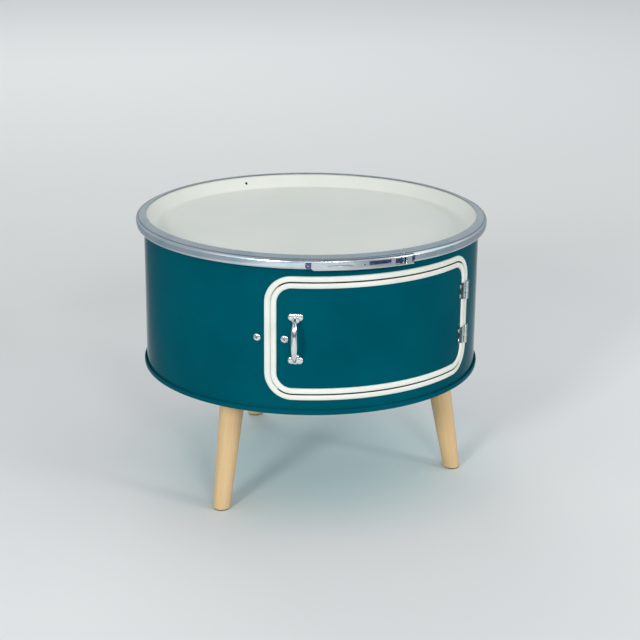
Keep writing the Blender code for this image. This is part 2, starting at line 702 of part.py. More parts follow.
def lever_web_cuts():
    """The window over the link, the grip groove, the narrowed tab at the tip and two round holes."""
    shape = bmesh.new()
    outer = LEVER_WEB_INSIDE + LATCH_SHEET
    through = LEVER_WEB_INSIDE - LATCH_SHEET
    beyond = LEVER_TAB_ANGLE - OVERRUN / RING_RADIUS
    middle, tab, edge = LATCH_MIDDLE, LEVER_TAB_HEIGHT / 2, LATCH_HEIGHT / 2 + OVERRUN
    cuts = [
        (WINDOW_START, WINDOW_END, middle - WINDOW_HEIGHT / 2, middle + WINDOW_HEIGHT / 2, through),
        (GRIP_START, GRIP_END, middle - GRIP_HEIGHT / 2, middle + GRIP_HEIGHT / 2, outer - GRIP_DEPTH),
        (beyond, LEVER_TIP_ANGLE, middle + tab, middle + edge, RING_RADIUS - OVERRUN),
        (beyond, LEVER_TIP_ANGLE, middle - edge, middle - tab, RING_RADIUS - OVERRUN),
    ]
    for start, end, low, high, depth in cuts:
        profile = plan_arc(outer + OVERRUN, start, end, 3) + plan_arc(depth, end, start, 3)
        add_prism(shape, profile, low, high)
    for angle, radius in ((SIGHT_HOLE_ANGLE, SIGHT_HOLE_RADIUS),
                          ((LEVER_TAB_ANGLE + LEVER_TIP_ANGLE) / 2, TAB_HOLE_RADIUS)):
        place = outward(angle * WALL_RADIUS, middle, outer)
        add_turned(shape, [(radius, -LATCH_SHEET * 2), (radius, OVERRUN)], place)
    return shape


def tension_link(zinc, parent):
    """Strap from its eye on the lever to the open hook over the left end's pin."""
    outside = LATCH_PIN_DISTANCE + LATCH_EYE
    hook_radius = LATCH_PIN_RADIUS + HOOK_PLAY + LATCH_SHEET / 2
    eye = rolled_eye(LINK_PIN_ANGLE, LATCH_PIN_DISTANCE, LATCH_EYE, math.pi / 2 - EYE_TURN, EYE_TURN)
    strap = plan_arc(outside, LINK_PIN_ANGLE, HOOK_PIN_ANGLE, 4)[1:-1]
    hook = rolled_eye(HOOK_PIN_ANGLE, LATCH_PIN_DISTANCE, hook_radius, math.pi / 2, HOOK_TURN, 4,
                      hook_radius - LATCH_EYE)
    low = LATCH_MIDDLE - LINK_HEIGHT / 2
    shape = prism(thicken(eye + strap + hook, LATCH_SHEET), low, low + LINK_HEIGHT)
    return finish_mesh("tension_link", shape, zinc, parent=parent)


def edge_trim(name, side, look, parent=None):
    """U-shaped edge profile swept round the door's outline. side is 1 on the wall, -1 on the door."""
    inner = WALL_INSIDE - TRIM_GAP - TRIM_BACK
    outer = WALL_RADIUS + TRIM_PROUD
    profile = [
        (0, inner),
        (0, outer - TRIM_ROUND),
        (TRIM_ROUND, outer),
        (TRIM_WIDTH - TRIM_ROUND * 2, outer),
        (TRIM_WIDTH, WALL_RADIUS + TRIM_GAP),
        (TRIM_EDGE, WALL_RADIUS + TRIM_GAP),
        (TRIM_EDGE, WALL_INSIDE - TRIM_GAP),
        (TRIM_BACK_WIDTH, WALL_INSIDE - TRIM_GAP),
        (TRIM_BACK_WIDTH, inner),
    ]
    shape = bmesh.new()
    rings = []
    for x, z, nx, nz in door_outline(side * DOOR_GAP / 2):
        ring = [shape.verts.new(on_wall(x + side * s * nx, z + side * s * nz, r)) for s, r in profile]
        rings.append(ring)
    for one, two in zip(rings, rings[1:] + rings[:1]):
        for i in range(len(profile)):
            j = (i + 1) % len(profile)
            shape.faces.new((one[i], one[j], two[j], two[i]))
    return finish_mesh(name, shape, look, parent=parent)


def door_panel(paint, parent):
    edge = [(x, z) for x, z, nx, nz in door_outline(-sheet_edge_offset())]
    panel = finish_mesh("door_panel", wall_pad(edge, WALL_INSIDE, WALL_RADIUS), paint, parent=parent)
    places = door_screw_places() + [(-DOOR_BOLT_ARC, bolt_height())] + handle_places()
    radii = [HINGE_SCREW_RADIUS] * 4 + [BOLT_RADIUS] + [HANDLE_SCREW_RADIUS] * 2
    tool = finish_mesh("cut_door_holes", hole_cutter(places, radii), None, parent=parent, cutter=True)
    boolean(panel, tool)
    return panel


def hinge_leaf(name, height, side, look, parent=None):
    """Cranked leaf: two lobes on the sheet, a step over the trim, and a rolled knuckle."""
    seat = WALL_RADIUS + FIT_GAP + HINGE_SHEET / 2
    bridge = HINGE_PIN_DISTANCE - HINGE_EYE
    reach = (LOBE_REACH + LOBE_RADIUS) / WALL_RADIUS
    neck = HINGE_NECK / WALL_RADIUS
    ramp = HINGE_RAMP / WALL_RADIUS
    flat = [plan(seat, HINGE_ANGLE + side * a) for a in (reach, (reach + neck + ramp) / 2, neck + ramp)]
    over = [plan(bridge, HINGE_ANGLE + side * a) for a in (neck, neck / 2)]
    turn = -EYE_TURN if side > 0 else EYE_TURN
    eye = rolled_eye(HINGE_ANGLE, HINGE_PIN_DISTANCE, HINGE_EYE, -math.pi / 2, turn)
    shape = prism(thicken(flat + over + eye, HINGE_SHEET), height - HINGE_HEIGHT,
                  height + HINGE_HEIGHT)
    leaf = finish_mesh(name, shape, look, parent=parent)
    outline = leaf_outline(side)
    form = bmesh.new()
    add_prism(form, outline, -OVERRUN, OVERRUN, lambda x, z, n: on_wall(x, z + height, WALL_RADIUS + n))
    lobe = DOOR_ARC / 2 + side * LOBE_REACH
    holes = hole_cutter([(lobe, height + LOBE_SPREAD), (lobe, height - LOBE_SPREAD)],
                        [HINGE_SCREW_RADIUS] * 2)
    boolean(leaf, finish_mesh("form_" + name, form, None, parent=parent, cutter=True), "INTERSECT")
    boolean(leaf, finish_mesh("cut_holes_" + name, holes, None, parent=parent, cutter=True))
    room = knuckle_room(height, side)
    boolean(leaf, finish_mesh("cut_knuckle_" + name, room, None, parent=parent, cutter=True))
    return leaf


def leaf_outline(side):
    """Front outline of a leaf: straight past the pin, two round lobes at the far end."""
    middle = DOOR_ARC / 2
    half = HINGE_HEIGHT / 2
    past = -HINGE_EYE * 3
    waist = HINGE_NECK / 2
    upper = arc((LOBE_REACH, LOBE_SPREAD), LOBE_RADIUS, math.pi / 2, -math.pi / 2 - LOBE_TURN, 6)
    lower = [(x, -z) for x, z in reversed(upper)]
    points = [(past, half), (waist, half)] + upper + lower + [(waist, -half), (past, -half)]
    return [(middle + side * x, z) for x, z in points]


def knuckle_room(height, side):
    """Space for the other leaf's knuckles: the middle third, or the two ends."""
    third = HINGE_HEIGHT / 3
    clear = HINGE_EYE + HINGE_SHEET / 2 + FIT_GAP * 2
    gap = FIT_GAP / 2
    far, near = -clear * 3 * side, clear * side
    corners = [(far, -clear), (near, -clear), (near, clear), (far, clear)]
    outline = [local_to_plan(HINGE_ANGLE, p, HINGE_PIN_DISTANCE) for p in corners]
    shape = bmesh.new()
    middle = (height - third / 2 - gap, height + third / 2 + gap)
    ends = [(height + third / 2 - gap, height + OVERRUN * 2),
            (height - OVERRUN * 2, height - third / 2 + gap)]
    for low, high in ([middle] if side > 0 else ends):
        add_prism(shape, outline, low, high)
    return shape


def headed_bolt(name, place, tail, look, parent=None):
    """A round-headed bolt through the wall, its head outside."""
    outline = [(BOLT_RADIUS, -tail), (BOLT_RADIUS, 0), (BOLT_HEAD, 0),
               (BOLT_HEAD, BOLT_HEAD_HEIGHT * BOLT_RIM_SHARE),
               (BOLT_HEAD * BOLT_CROWN_SHARE, BOLT_HEAD_HEIGHT)]
    shape = add_turned(bmesh.new(), outline, outward(*place, WALL_RADIUS + FIT_GAP), BOLT_SEGMENTS)
    return finish_mesh(name, shape, look, parent=parent)


def hinge_screw(name, place, look, parent=None):
    """A small round-headed screw through a leaf and the sheet, with its nut run up inside."""
    seat = WALL_RADIUS + FIT_GAP * 2 + HINGE_SHEET
    under = seat - WALL_INSIDE + TRIM_GAP
    outline = [(HINGE_NUT_RADIUS, -under - HINGE_NUT_HEIGHT), (HINGE_NUT_RADIUS, -under),
               (HINGE_SCREW_RADIUS, -under), (HINGE_SCREW_RADIUS, 0), (HINGE_SCREW_HEAD, 0),
               (HINGE_SCREW_HEAD, HINGE_SCREW_HEAD_HEIGHT * BOLT_RIM_SHARE),
               (HINGE_SCREW_HEAD * BOLT_CROWN_SHARE, HINGE_SCREW_HEAD_HEIGHT)]
    shape = add_turned(bmesh.new(), outline, outward(*place, seat), SCREW_SEGMENTS)
    return finish_mesh(name, shape, look, parent=parent)


def wall_nut(name, place, under, look, parent=None):
    shape = bmesh.new()
    add_nut(shape, outward(*place, under - NUT_HEIGHT), 0, BOLT_RADIUS + FIT_GAP * 2)
    return finish_mesh(name, shape, look, parent=parent)


def handle_places():
    return [(-HANDLE_ARC, DOOR_CENTRE + s * HANDLE_SPACING / 2) for s in (1, -1)]


def door_handle(chrome, parent):
    """Bow of changing width between two lobed feet, joined into one casting."""
    base = WALL_RADIUS + FIT_GAP
    shape = bmesh.new()
    rings = []
    middle = outward(-HANDLE_ARC, DOOR_CENTRE, base)
    for i in range(HANDLE_STATIONS + 1):
        share = i / HANDLE_STATIONS
        a = math.pi * share
        along = -math.cos(a) * HANDLE_SPACING / 2
        out = FOOT_THICKNESS / 2 + math.sin(a) ** HANDLE_SWELL_SHARE * HANDLE_STAND
        slope = Vector((0, math.sin(a) * HANDLE_SPACING / 2, math.cos(a) * HANDLE_STAND)).normalized()
        across = Vector((1, 0, 0))
        deep = slope.cross(across)
        width = HANDLE_HALF_WIDTH * (HANDLE_NECK_SHARE + (1 - HANDLE_NECK_SHARE) * math.sin(a))
        centre = Vector((0, along, out))
        ring = []
        for k in range(SMALL_SEGMENTS):
            b = math.tau * k / SMALL_SEGMENTS
            offset = across * math.cos(b) * width + deep * math.sin(b) * HANDLE_HALF_DEPTH
            ring.append(shape.verts.new(middle @ (centre + offset)))
        rings.append(ring)
    for one, two in zip(rings, rings[1:]):
        for k in range(SMALL_SEGMENTS):
            j = (k + 1) % SMALL_SEGMENTS
            shape.faces.new((one[k], one[j], two[j], two[k]))
    shape.faces.new(rings[0][::-1])
    shape.faces.new(rings[-1])
    handle = finish_mesh("door_handle", shape, chrome, parent=parent)
    feet = bmesh.new()
    for flip, (x, z) in zip((1, -1), handle_places()):
        add_foot(feet, outward(x, z, base), flip)
    tool = finish_mesh("join_handle_feet", feet, None, parent=parent, cutter=True)
    boolean(handle, tool, "UNION")
    bores = bmesh.new()
    for x, z in handle_places():
        clear = HANDLE_SCREW_RADIUS + FIT_GAP
        ends = [(clear, -OVERRUN), (clear, HANDLE_SCREW_DEPTH + FIT_GAP)]
        add_turned(bores, ends, outward(x, z, base))
    boolean(handle, finish_mesh("cut_handle_bores", bores, None, parent=parent, cutter=True))
    return handle


def add_foot(shape, place, flip):
    """A lobed foot with a chamfered face, its three lobes pointing away from the bow."""
    lobes = [
        (FOOT_LOBE_REACH, flip * FOOT_LOBE_RISE, FOOT_LOBE_RADIUS),
        (-FOOT_LOBE_REACH, flip * FOOT_LOBE_RISE, FOOT_LOBE_RADIUS),
        (0, flip * FOOT_CREST_RISE, FOOT_CREST_RADIUS),
        (0, -flip * FOOT_TOE_DROP, FOOT_TOE_RADIUS),
    ]
    outline = lobed_outline(lobes, FOOT_OUTLINE_POINTS)
    inset = [(x * (1 - FOOT_BEVEL / FOOT_LOBE_RADIUS), y * (1 - FOOT_BEVEL / FOOT_LOBE_RADIUS))
             for x, y in outline]
    levels = ((outline, 0), (outline, FOOT_THICKNESS - FOOT_BEVEL), (inset, FOOT_THICKNESS))
    rings = [[shape.verts.new(place @ Vector((x, y, n))) for x, y in points] for points, n in levels]
    for one, two in zip(rings, rings[1:]):
        for k in range(len(outline)):
            j = (k + 1) % len(outline)
            shape.faces.new((one[k], one[j], two[j], two[k]))
    shape.faces.new(rings[0][::-1])
    shape.faces.new(rings[-1])


def handle_screw(name, place, steel, parent):
    """A screw from inside the door into a foot of the handle."""
    seat = WALL_INSIDE - TRIM_GAP
    reach = WALL_RADIUS + FIT_GAP + HANDLE_SCREW_DEPTH - seat
    outline = [(HANDLE_SCREW_HEAD * BOLT_CROWN_SHARE, -HANDLE_SCREW_HEAD_HEIGHT),
               (HANDLE_SCREW_HEAD, -HANDLE_SCREW_HEAD_HEIGHT * BOLT_RIM_SHARE), (HANDLE_SCREW_HEAD, 0),
               (HANDLE_SCREW_RADIUS, 0), (HANDLE_SCREW_RADIUS, reach)]
    return finish_mesh(name, add_turned(bmesh.new(), outline, outward(*place, seat)), steel, parent=parent)


def catch_bracket(zinc):
    """Strap under the wall's bolt, stepped inwards behind the trims to carry the magnet."""
    seat = WALL_INSIDE - TRIM_GAP - CATCH_SHEET / 2
    deep = WALL_INSIDE - CATCH_DEPTH
    bolt = WALL_BOLT_ARC
    arcs = [(bolt + CATCH_HEEL, seat), (bolt, seat), (bolt - CATCH_HEEL / 2, seat),
            (bolt - CATCH_HEEL / 2 - CATCH_RAMP, deep), ((bolt + CATCH_TOE_ARC) / 2 - CATCH_RAMP, deep),
            (CATCH_TOE_ARC, deep)]
    path = [plan(r, -x / WALL_RADIUS) for x, r in arcs]
    low = bolt_height() - CATCH_HEIGHT / 2
    strap = finish_mesh("catch_bracket", prism(thicken(path, CATCH_SHEET), low, low + CATCH_HEIGHT), zinc)
    holes = hole_cutter([(-WALL_BOLT_ARC, bolt_height())], [BOLT_RADIUS])
    boolean(strap, finish_mesh("cut_catch_hole", holes, None, cutter=True))
    return strap


def catch_magnet(steel):
    low = WALL_INSIDE - CATCH_DEPTH + CATCH_SHEET / 2 + FIT_GAP
    high = WALL_INSIDE - TRIM_GAP - FIT_GAP - KEEPER_SHEET
    half = CATCH_HEIGHT / 2
    left, right = -(CATCH_TOE_ARC + MAGNET_WIDTH), -CATCH_TOE_ARC
    middle = bolt_height()
    outline = [(left, middle - half), (right, middle - half), (right, middle + half), (left, middle + half)]
    return finish_mesh("catch_magnet", wall_pad(outline, low, high), steel)


def keeper_plate(zinc, parent):
    high = WALL_INSIDE - TRIM_GAP
    half = CATCH_HEIGHT / 2
    middle = bolt_height()
    outline = [(-KEEPER_TOE_ARC, middle - half), (-KEEPER_HEEL_ARC, middle - half),
               (-KEEPER_HEEL_ARC, middle + half), (-KEEPER_TOE_ARC, middle + half)]
    plate = finish_mesh("keeper_plate", wall_pad(outline, high - KEEPER_SHEET, high), zinc, parent=parent)
    holes = hole_cutter([(-DOOR_BOLT_ARC, middle)], [BOLT_RADIUS])
    boolean(plate, finish_mesh("cut_keeper_hole", holes, None, parent=parent, cutter=True))
    return plate


def leg_frame():
    """Places a leg whose Z runs up its own axis, foot centre on the floor, at the front."""
    foot = Matrix.Translation((0, -LEG_FOOT_DISTANCE, 0))
    return foot @ Matrix.Rotation(-LEG_SPLAY, 4, "X")


def leg_top_height():
    """Length along the leg's axis from the floor to the slanted face of its plate's boss."""
    middle = HEAD_UNDERSIDE - FIT_GAP - PLATE_SHEET - BOSS_HEIGHT
    return (middle - FIT_GAP) / math.cos(LEG_SPLAY)


def leg(name, angle, wood):
    """Tapered round leg, sawn level at the foot and square to its axis at the top."""
    length = leg_top_height()
    spare = LEG_FOOT_RADIUS * 2
    grow = (LEG_TOP_RADIUS - LEG_FOOT_RADIUS) / length
    shape = bmesh.new()
    low_radius = LEG_FOOT_RADIUS - grow * spare
    bmesh.ops.create_cone(
        shape, cap_ends=True, segments=LEG_SEGMENTS, radius1=low_radius, radius2=LEG_TOP_RADIUS,
        depth=length + spare, matrix=leg_frame() @ Matrix.Translation((0, 0, (length - spare) / 2)),
    )
    floor = GLIDE_HEIGHT + FIT_GAP
    everything = shape.verts[:] + shape.edges[:] + shape.faces[:]
    cut = bmesh.ops.bisect_plane(shape, geom=everything, plane_co=(0, 0, floor), plane_no=(0, 0, 1),
                                 clear_inner=True)
    rim = [e for e in cut["geom_cut"] if isinstance(e, bmesh.types.BMEdge)]
    bmesh.ops.holes_fill(shape, edges=rim, sides=0)
    rim = [e for e in shape.edges if all(abs(v.co.z - floor) < FIT_GAP / 10 for v in e.verts)]
    bmesh.ops.bevel(shape, geom=rim, offset=LEG_CHAMFER, offset_type="OFFSET", segments=1,
                    profile=0.5, affect="EDGES", material=-1)
    made = finish_mesh(name, shape, wood, angle)
    bore = add_turned(bmesh.new(), [(STUD_RADIUS + FIT_GAP, length - STUD_DEPTH - FIT_GAP),
                                    (STUD_RADIUS + FIT_GAP, length + OVERRUN)], leg_frame(), 12)
    boolean(made, finish_mesh("cut_bore_" + name, bore, None, angle, cutter=True))
    return made


def plate_centre():
    """Where the leg's axis meets the plate's boss, as a distance from the barrel's axis."""
    return LEG_FOOT_DISTANCE - leg_top_height() * math.sin(LEG_SPLAY)


def leg_plate(name, angle, zinc):
    """Square plate under the head with a round boss, its lower face slanted to suit the leg."""
    top = HEAD_UNDERSIDE - FIT_GAP
    centre = Matrix.Translation((0, -plate_centre(), 0))
    shape = bmesh.new()
    outline = rounded_rectangle(PLATE_WIDTH, PLATE_WIDTH, PLATE_CORNER, 2)
    add_prism(shape, outline, top - PLATE_SHEET, top, lambda x, y, z: centre @ Vector((x, y, z)))
    plate = finish_mesh(name, shape, zinc, angle)
    boss = add_turned(bmesh.new(), [(BOSS_RADIUS, top - PLATE_SHEET * 1.5 - BOSS_HEIGHT * 2),
                                    (BOSS_RADIUS, top - PLATE_SHEET / 2)], centre, LEG_SEGMENTS)
    seat = leg_frame() @ Vector((0, 0, leg_top_height() + FIT_GAP))
    normal = leg_frame().to_3x3() @ Vector((0, 0, 1))
    everything = boss.verts[:] + boss.edges[:] + boss.faces[:]
    cut = bmesh.ops.bisect_plane(boss, geom=everything, plane_co=seat, plane_no=normal, clear_inner=True)
    rim = [e for e in cut["geom_cut"] if isinstance(e, bmesh.types.BMEdge)]
    bmesh.ops.holes_fill(boss, edges=rim, sides=0)
    boolean(plate, finish_mesh("join_boss_" + name, boss, None, angle, cutter=True), "UNION")
    bore = add_turned(bmesh.new(), [(STUD_RADIUS + FIT_GAP, leg_top_height() - OVERRUN),
                                    (STUD_RADIUS + FIT_GAP, leg_top_height() + OVERRUN * 2)],
                      leg_frame(), 12)
    boolean(plate, finish_mesh("cut_bore_" + name, bore, None, angle, cutter=True))
    boolean(plate, finish_mesh("join_rivets_" + name, plate_rivets(), None, angle, cutter=True), "UNION")
    return plate


def rivet_places():
    half = PLATE_WIDTH / 2 - RIVET_INSET
    return [(sx * half, -plate_centre() + sy * half) for sx in (1, -1) for sy in (1, -1)]


def leg_stud(name, angle, steel):
    """Threaded stud, half in the leg and half in the plate's boss."""
    length = leg_top_height()
    up = (HEAD_UNDERSIDE - FIT_GAP - STUD_RADIUS * math.sin(LEG_SPLAY)) / math.cos(LEG_SPLAY) - FIT_GAP
    shape = add_turned(bmesh.new(), [(STUD_RADIUS, length - STUD_DEPTH), (STUD_RADIUS, up)],
                       leg_frame(), 12)
    return finish_mesh(name, shape, steel, angle)


def leg_glide(name, angle, felt):
    """Thin pad under the foot."""
    radius = LEG_FOOT_RADIUS - GLIDE_INSET
    place = Matrix.Translation((0, -LEG_FOOT_DISTANCE, 0))
    shape = add_turned(bmesh.new(), [(radius, 0), (radius, GLIDE_HEIGHT)], place, LEG_SEGMENTS)
    return finish_mesh(name, shape, felt, angle)


def plate_rivets():
    """Four rivets of one leg plate: a head below it, a shank through the head, a set end inside."""
    shape = bmesh.new()
    low = HEAD_UNDERSIDE - FIT_GAP - PLATE_SHEET
    high = HEAD_UNDERSIDE + SHEET + FIT_GAP
    outline = [(RIVET_RADIUS, low - RIVET_HEAD_HEIGHT), (RIVET_HEAD, low),
               (RIVET_RADIUS, low + PLATE_SHEET / 2), (RIVET_RADIUS, high),
               (RIVET_SET, high), (RIVET_RADIUS, high + RIVET_HEAD_HEIGHT)]
    for x, y in rivet_places():
        add_turned(shape, outline, Matrix.Translation((x, y, 0)), SCREW_SEGMENTS)
    return shape


def leg_angles():
    return [math.pi / LEG_COUNT * (2 * i - 1) for i in range(LEG_COUNT)]


def bottom_holes(bottom):
    holes = bmesh.new()
    for angle in leg_angles():
        turn = Matrix.Rotation(angle, 4, "Z")
        for x, y in rivet_places():
            ends = [(RIVET_RADIUS + FIT_GAP, HEAD_UNDERSIDE - OVERRUN),
                    (RIVET_RADIUS + FIT_GAP, HEAD_UNDERSIDE + OVERRUN)]
            add_turned(holes, ends, turn @ Matrix.Translation((x, y, 0)))
    boolean(bottom, finish_mesh("cut_bottom_holes", holes, None, cutter=True))


def build_latch(zinc, steel):
    lever_axis = axis_empty("lever_axis", LATCH_PIN_DISTANCE, LEVER_PIN_ANGLE, LATCH_MIDDLE)
    link_axis = axis_empty("link_axis", LATCH_PIN_DISTANCE, LINK_PIN_ANGLE, LATCH_MIDDLE)
    lever_bracket(zinc)
    hook_bracket(zinc)
    clamp_lever(zinc, lever_axis)
    tension_link(zinc, link_axis)
    low, high = LATCH_BOTTOM, LATCH_BOTTOM + LATCH_HEIGHT
    distance, radius = LATCH_PIN_DISTANCE, LATCH_PIN_RADIUS
    pin("lever_pin", LEVER_PIN_ANGLE, distance, radius, low, high, steel)
    pin("link_pin", LINK_PIN_ANGLE, distance, radius, low, high, steel, lever_axis)
    span = LINK_HEIGHT / 2 + FIT_GAP + HOOK_EYE_HEIGHT
    pin("hook_pin", HOOK_PIN_ANGLE, distance, radius, LATCH_MIDDLE - span, LATCH_MIDDLE + span, steel)


def build_hinges(chrome, steel, door_axis):
    half = HINGE_HEIGHT / 2
    for place, height in zip(("upper", "lower"), hinge_heights()):
        hinge_leaf("hinge_frame_leaf_" + place, height, 1, chrome)
        hinge_leaf("hinge_door_leaf_" + place, height, -1, chrome, door_axis)
        pin("hinge_pin_" + place, HINGE_ANGLE, HINGE_PIN_DISTANCE, HINGE_PIN_RADIUS,
            height - half - FIT_GAP, height + half + FIT_GAP, steel,
            head=HINGE_PIN_HEAD, head_height=HINGE_PIN_HEAD_HEIGHT)
    for i, (frame_place, door_place) in enumerate(zip(frame_screw_places(), door_screw_places()), 1):
        hinge_screw(f"hinge_frame_screw_{i}", frame_place, chrome)
        hinge_screw(f"hinge_door_screw_{i}", door_place, chrome, door_axis)


def build_catch(zinc, steel, chrome, door_axis):
    catch_bracket(zinc)
    catch_magnet(steel)
    keeper_plate(zinc, door_axis)
    wall_under = WALL_INSIDE - TRIM_GAP - FIT_GAP - CATCH_SHEET
    door_under = WALL_INSIDE - TRIM_GAP - FIT_GAP - KEEPER_SHEET
    for name, x, under, parent in (("wall", -WALL_BOLT_ARC, wall_under, None),
                                   ("door", -DOOR_BOLT_ARC, door_under, door_axis)):
        tail = WALL_RADIUS + FIT_GAP - under + NUT_HEIGHT + BOLT_TAIL
        headed_bolt(name + "_bolt", (x, bolt_height()), tail, chrome, parent)
        wall_nut(name + "_nut", (x, bolt_height()), under, steel, parent)


def build_legs(wood, zinc, steel, felt):
    for name, angle in zip(("left", "right", "back"), leg_angles()):
        leg("leg_" + name, angle, wood)
        leg_plate("leg_plate_" + name, angle, zinc)
        leg_stud("leg_stud_" + name, angle, steel)
        leg_glide("leg_glide_" + name, angle, felt)


def main():
    clear_scene()
    teal = material("teal_enamel_paint", (0.0, 0.085, 0.12), 0.25)
    cream = material("cream_enamel_paint", (0.74, 0.76, 0.71), 0.35)
    trim = material("cream_pvc_edging", (0.82, 0.80, 0.74), 0.45)
    zinc = material("bright_zinc_plate", (0.66, 0.70, 0.75), 0.25, 1.0)
    chrome = material("chrome_plate", (0.8, 0.8, 0.8), 0.1, 1.0)
    steel = material("plain_steel", (0.5, 0.5, 0.5), 0.4, 1.0)
    wood = material("oiled_beech", (0.66, 0.48, 0.28), 0.5)
    rubber = material("black_rubber", (0.02, 0.02, 0.02), 0.8)
    felt = material("brown_felt", (0.2, 0.13, 0.08), 0.95)
    drum_shell(teal)
    bottom_holes(drum_bottom(teal))
    lid(cream)
    lid_gasket(rubber)
    clamp_ring(zinc)
    build_latch(zinc, steel)
    door_axis = axis_empty("door_axis", HINGE_PIN_DISTANCE, HINGE_ANGLE, DOOR_CENTRE)
    door_panel(teal, door_axis)
    edge_trim("opening_trim", 1, trim)
    edge_trim("door_trim", -1, trim, door_axis)
    build_hinges(chrome, steel, door_axis)
    door_handle(chrome, door_axis)
    for name, place in zip(("upper", "lower"), handle_places()):
        handle_screw("handle_screw_" + name, place, steel, door_axis)
    build_catch(zinc, steel, chrome, door_axis)
    build_legs(wood, zinc, steel, felt)


main()
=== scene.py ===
# %% [markdown]
# # A low round table made from a short steel barrel
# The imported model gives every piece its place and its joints. This file dresses it: each visible
# sheet, casting, screw and leg is built again with smooth bends and real finishes, in the same
# frame, in metres, with the door facing -Y and the floor at zero.

import math

import bmesh
import bpy
from mathutils import Matrix, Vector


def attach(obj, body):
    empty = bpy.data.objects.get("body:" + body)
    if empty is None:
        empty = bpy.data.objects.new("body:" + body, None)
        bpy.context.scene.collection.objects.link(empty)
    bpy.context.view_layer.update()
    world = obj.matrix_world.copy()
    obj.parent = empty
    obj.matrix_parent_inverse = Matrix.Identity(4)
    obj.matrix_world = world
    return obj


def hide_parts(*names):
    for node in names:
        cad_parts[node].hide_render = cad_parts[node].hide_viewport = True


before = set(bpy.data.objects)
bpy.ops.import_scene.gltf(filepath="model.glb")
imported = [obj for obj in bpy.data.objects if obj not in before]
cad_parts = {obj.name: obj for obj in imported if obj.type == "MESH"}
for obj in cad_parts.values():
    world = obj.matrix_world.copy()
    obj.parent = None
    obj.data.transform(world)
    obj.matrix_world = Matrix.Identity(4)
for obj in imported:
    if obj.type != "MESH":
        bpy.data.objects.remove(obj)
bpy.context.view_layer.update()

# %% [markdown]
# ## The camera
# The photograph was taken with a long lens from the left of the door and above the lid. The angle,
# the distance and the small roll were worked out from the ellipses of the lid and the feet.

# %% Set the camera
def placed(name, data):
    """A new object with this data, linked into the scene."""
    made = bpy.data.objects.new(name, data)
    bpy.context.scene.collection.objects.link(made)
    return made


LENS = 91.3
CAMERA_SIDE = math.radians(-24.9)
CAMERA_DOWN = math.radians(18.04)
CAMERA_ROLL = math.radians(0.52)
CAMERA_DISTANCE = 2.847
TARGET_RIGHT, TARGET_HEIGHT = 0.0163, 0.2662

cos_a, sin_a = math.cos(CAMERA_SIDE), math.sin(CAMERA_SIDE)
cos_e, sin_e = math.cos(CAMERA_DOWN), math.sin(CAMERA_DOWN)
right = Vector((cos_a, sin_a, 0))
upward = Vector((-sin_a * sin_e, cos_a * sin_e, cos_e))
back = Vector((sin_a * cos_e, -cos_a * cos_e, sin_e))
target = right * TARGET_RIGHT + Vector((0, 0, TARGET_HEIGHT))

camera = placed("camera", bpy.data.cameras.new("camera"))
camera.data.lens = LENS
camera.data.clip_end = 200
turned_right = right * math.cos(CAMERA_ROLL) + upward * math.sin(CAMERA_ROLL)
turned_up = upward * math.cos(CAMERA_ROLL) - right * math.sin(CAMERA_ROLL)
camera.matrix_world = Matrix.LocRotScale(
    target + back * CAMERA_DISTANCE, Matrix((turned_right, turned_up, back)).transposed(), None
)
bpy.context.scene.camera = camera
print("camera at", [round(v, 3) for v in camera.matrix_world.translation])

# %% [markdown]
# ## Small helpers for finishes
# Colours are written as the hex values that a paint chart or a screen shows. The shaders work in
# linear light, so one function turns them. One more function adds a node with its settings and
# links, so that every material below reads as a short list.

# %% Colour and node helpers
def linear(colour):
    """The linear colour, with full alpha, of an sRGB hex value."""
    channels = [int(colour[i:i + 2], 16) / 255 for i in (1, 3, 5)]
    return (*[c / 12.92 if c <= 0.04045 else ((c + 0.055) / 1.055) ** 2.4 for c in channels], 1.0)


def node(tree, kind, inputs=None, **settings):
    """Adds a shader node. An input is a value, an output, or a node with one output in use."""
    made = tree.nodes.new("ShaderNode" + kind)
    for name, value in settings.items():
        setattr(made, name, value)
    for name, value in (inputs or {}).items():
        if isinstance(value, bpy.types.Node):
            value = next(output for output in value.outputs if output.enabled)
        if isinstance(value, bpy.types.NodeSocket):
            tree.links.new(value, made.inputs[name])
        else:
            made.inputs[name].default_value = value
    return made


def colours(ramp, *stops):
    """Sets a colour ramp's stops, each a position and a hex colour."""
    band = ramp.color_ramp
    while len(band.elements) < len(stops):
        band.elements.new(1.0)
    for element, (position, colour) in zip(band.elements, stops):
        element.position = position
        element.color = linear(colour)
    return ramp


def new_material(name):
    """An empty node material, and its tree."""
    made = bpy.data.materials.new(name)
    made.use_nodes = True
    made.node_tree.nodes.clear()
    return made, made.node_tree


def finish_material(tree, tone, gloss, height, strength, depth, constants):
    """Ends a material: a bump of a depth in metres, the shader with its constants, the output."""
    bump = node(tree, "Bump", {"Height": height, "Strength": strength, "Distance": depth})
    shader = node(tree, "BsdfPrincipled", {
        "Base Color": tone, "Roughness": gloss, "Normal": bump, **constants,
    })
    node(tree, "OutputMaterial", {"Surface": shader})


def per_mm(size):
    """Texture scale, in turns a metre, of a pattern whose features are this many millimetres."""
    return 1000.0 / size


print("teal as the shader sees it:", [round(v, 3) for v in linear("#00525F")])

# %% [markdown]
# ## Gloss enamel on the barrel
# The wall is steel sheet, sprayed with a two-pack gloss enamel. Sprayed paint levels out into a
# faint orange peel a few millimetres across, and it has tiny dust nibs. Both are far too shallow
# to see as shapes: they only make the reflections swim a little. So the colour and the roughness
# are nearly even, and a very low bump does the rest. Beside the paper the real studio was dark, so
# the wall's gloss shows no pale haze: a low index and a teal tint of its gleam stand in for that.

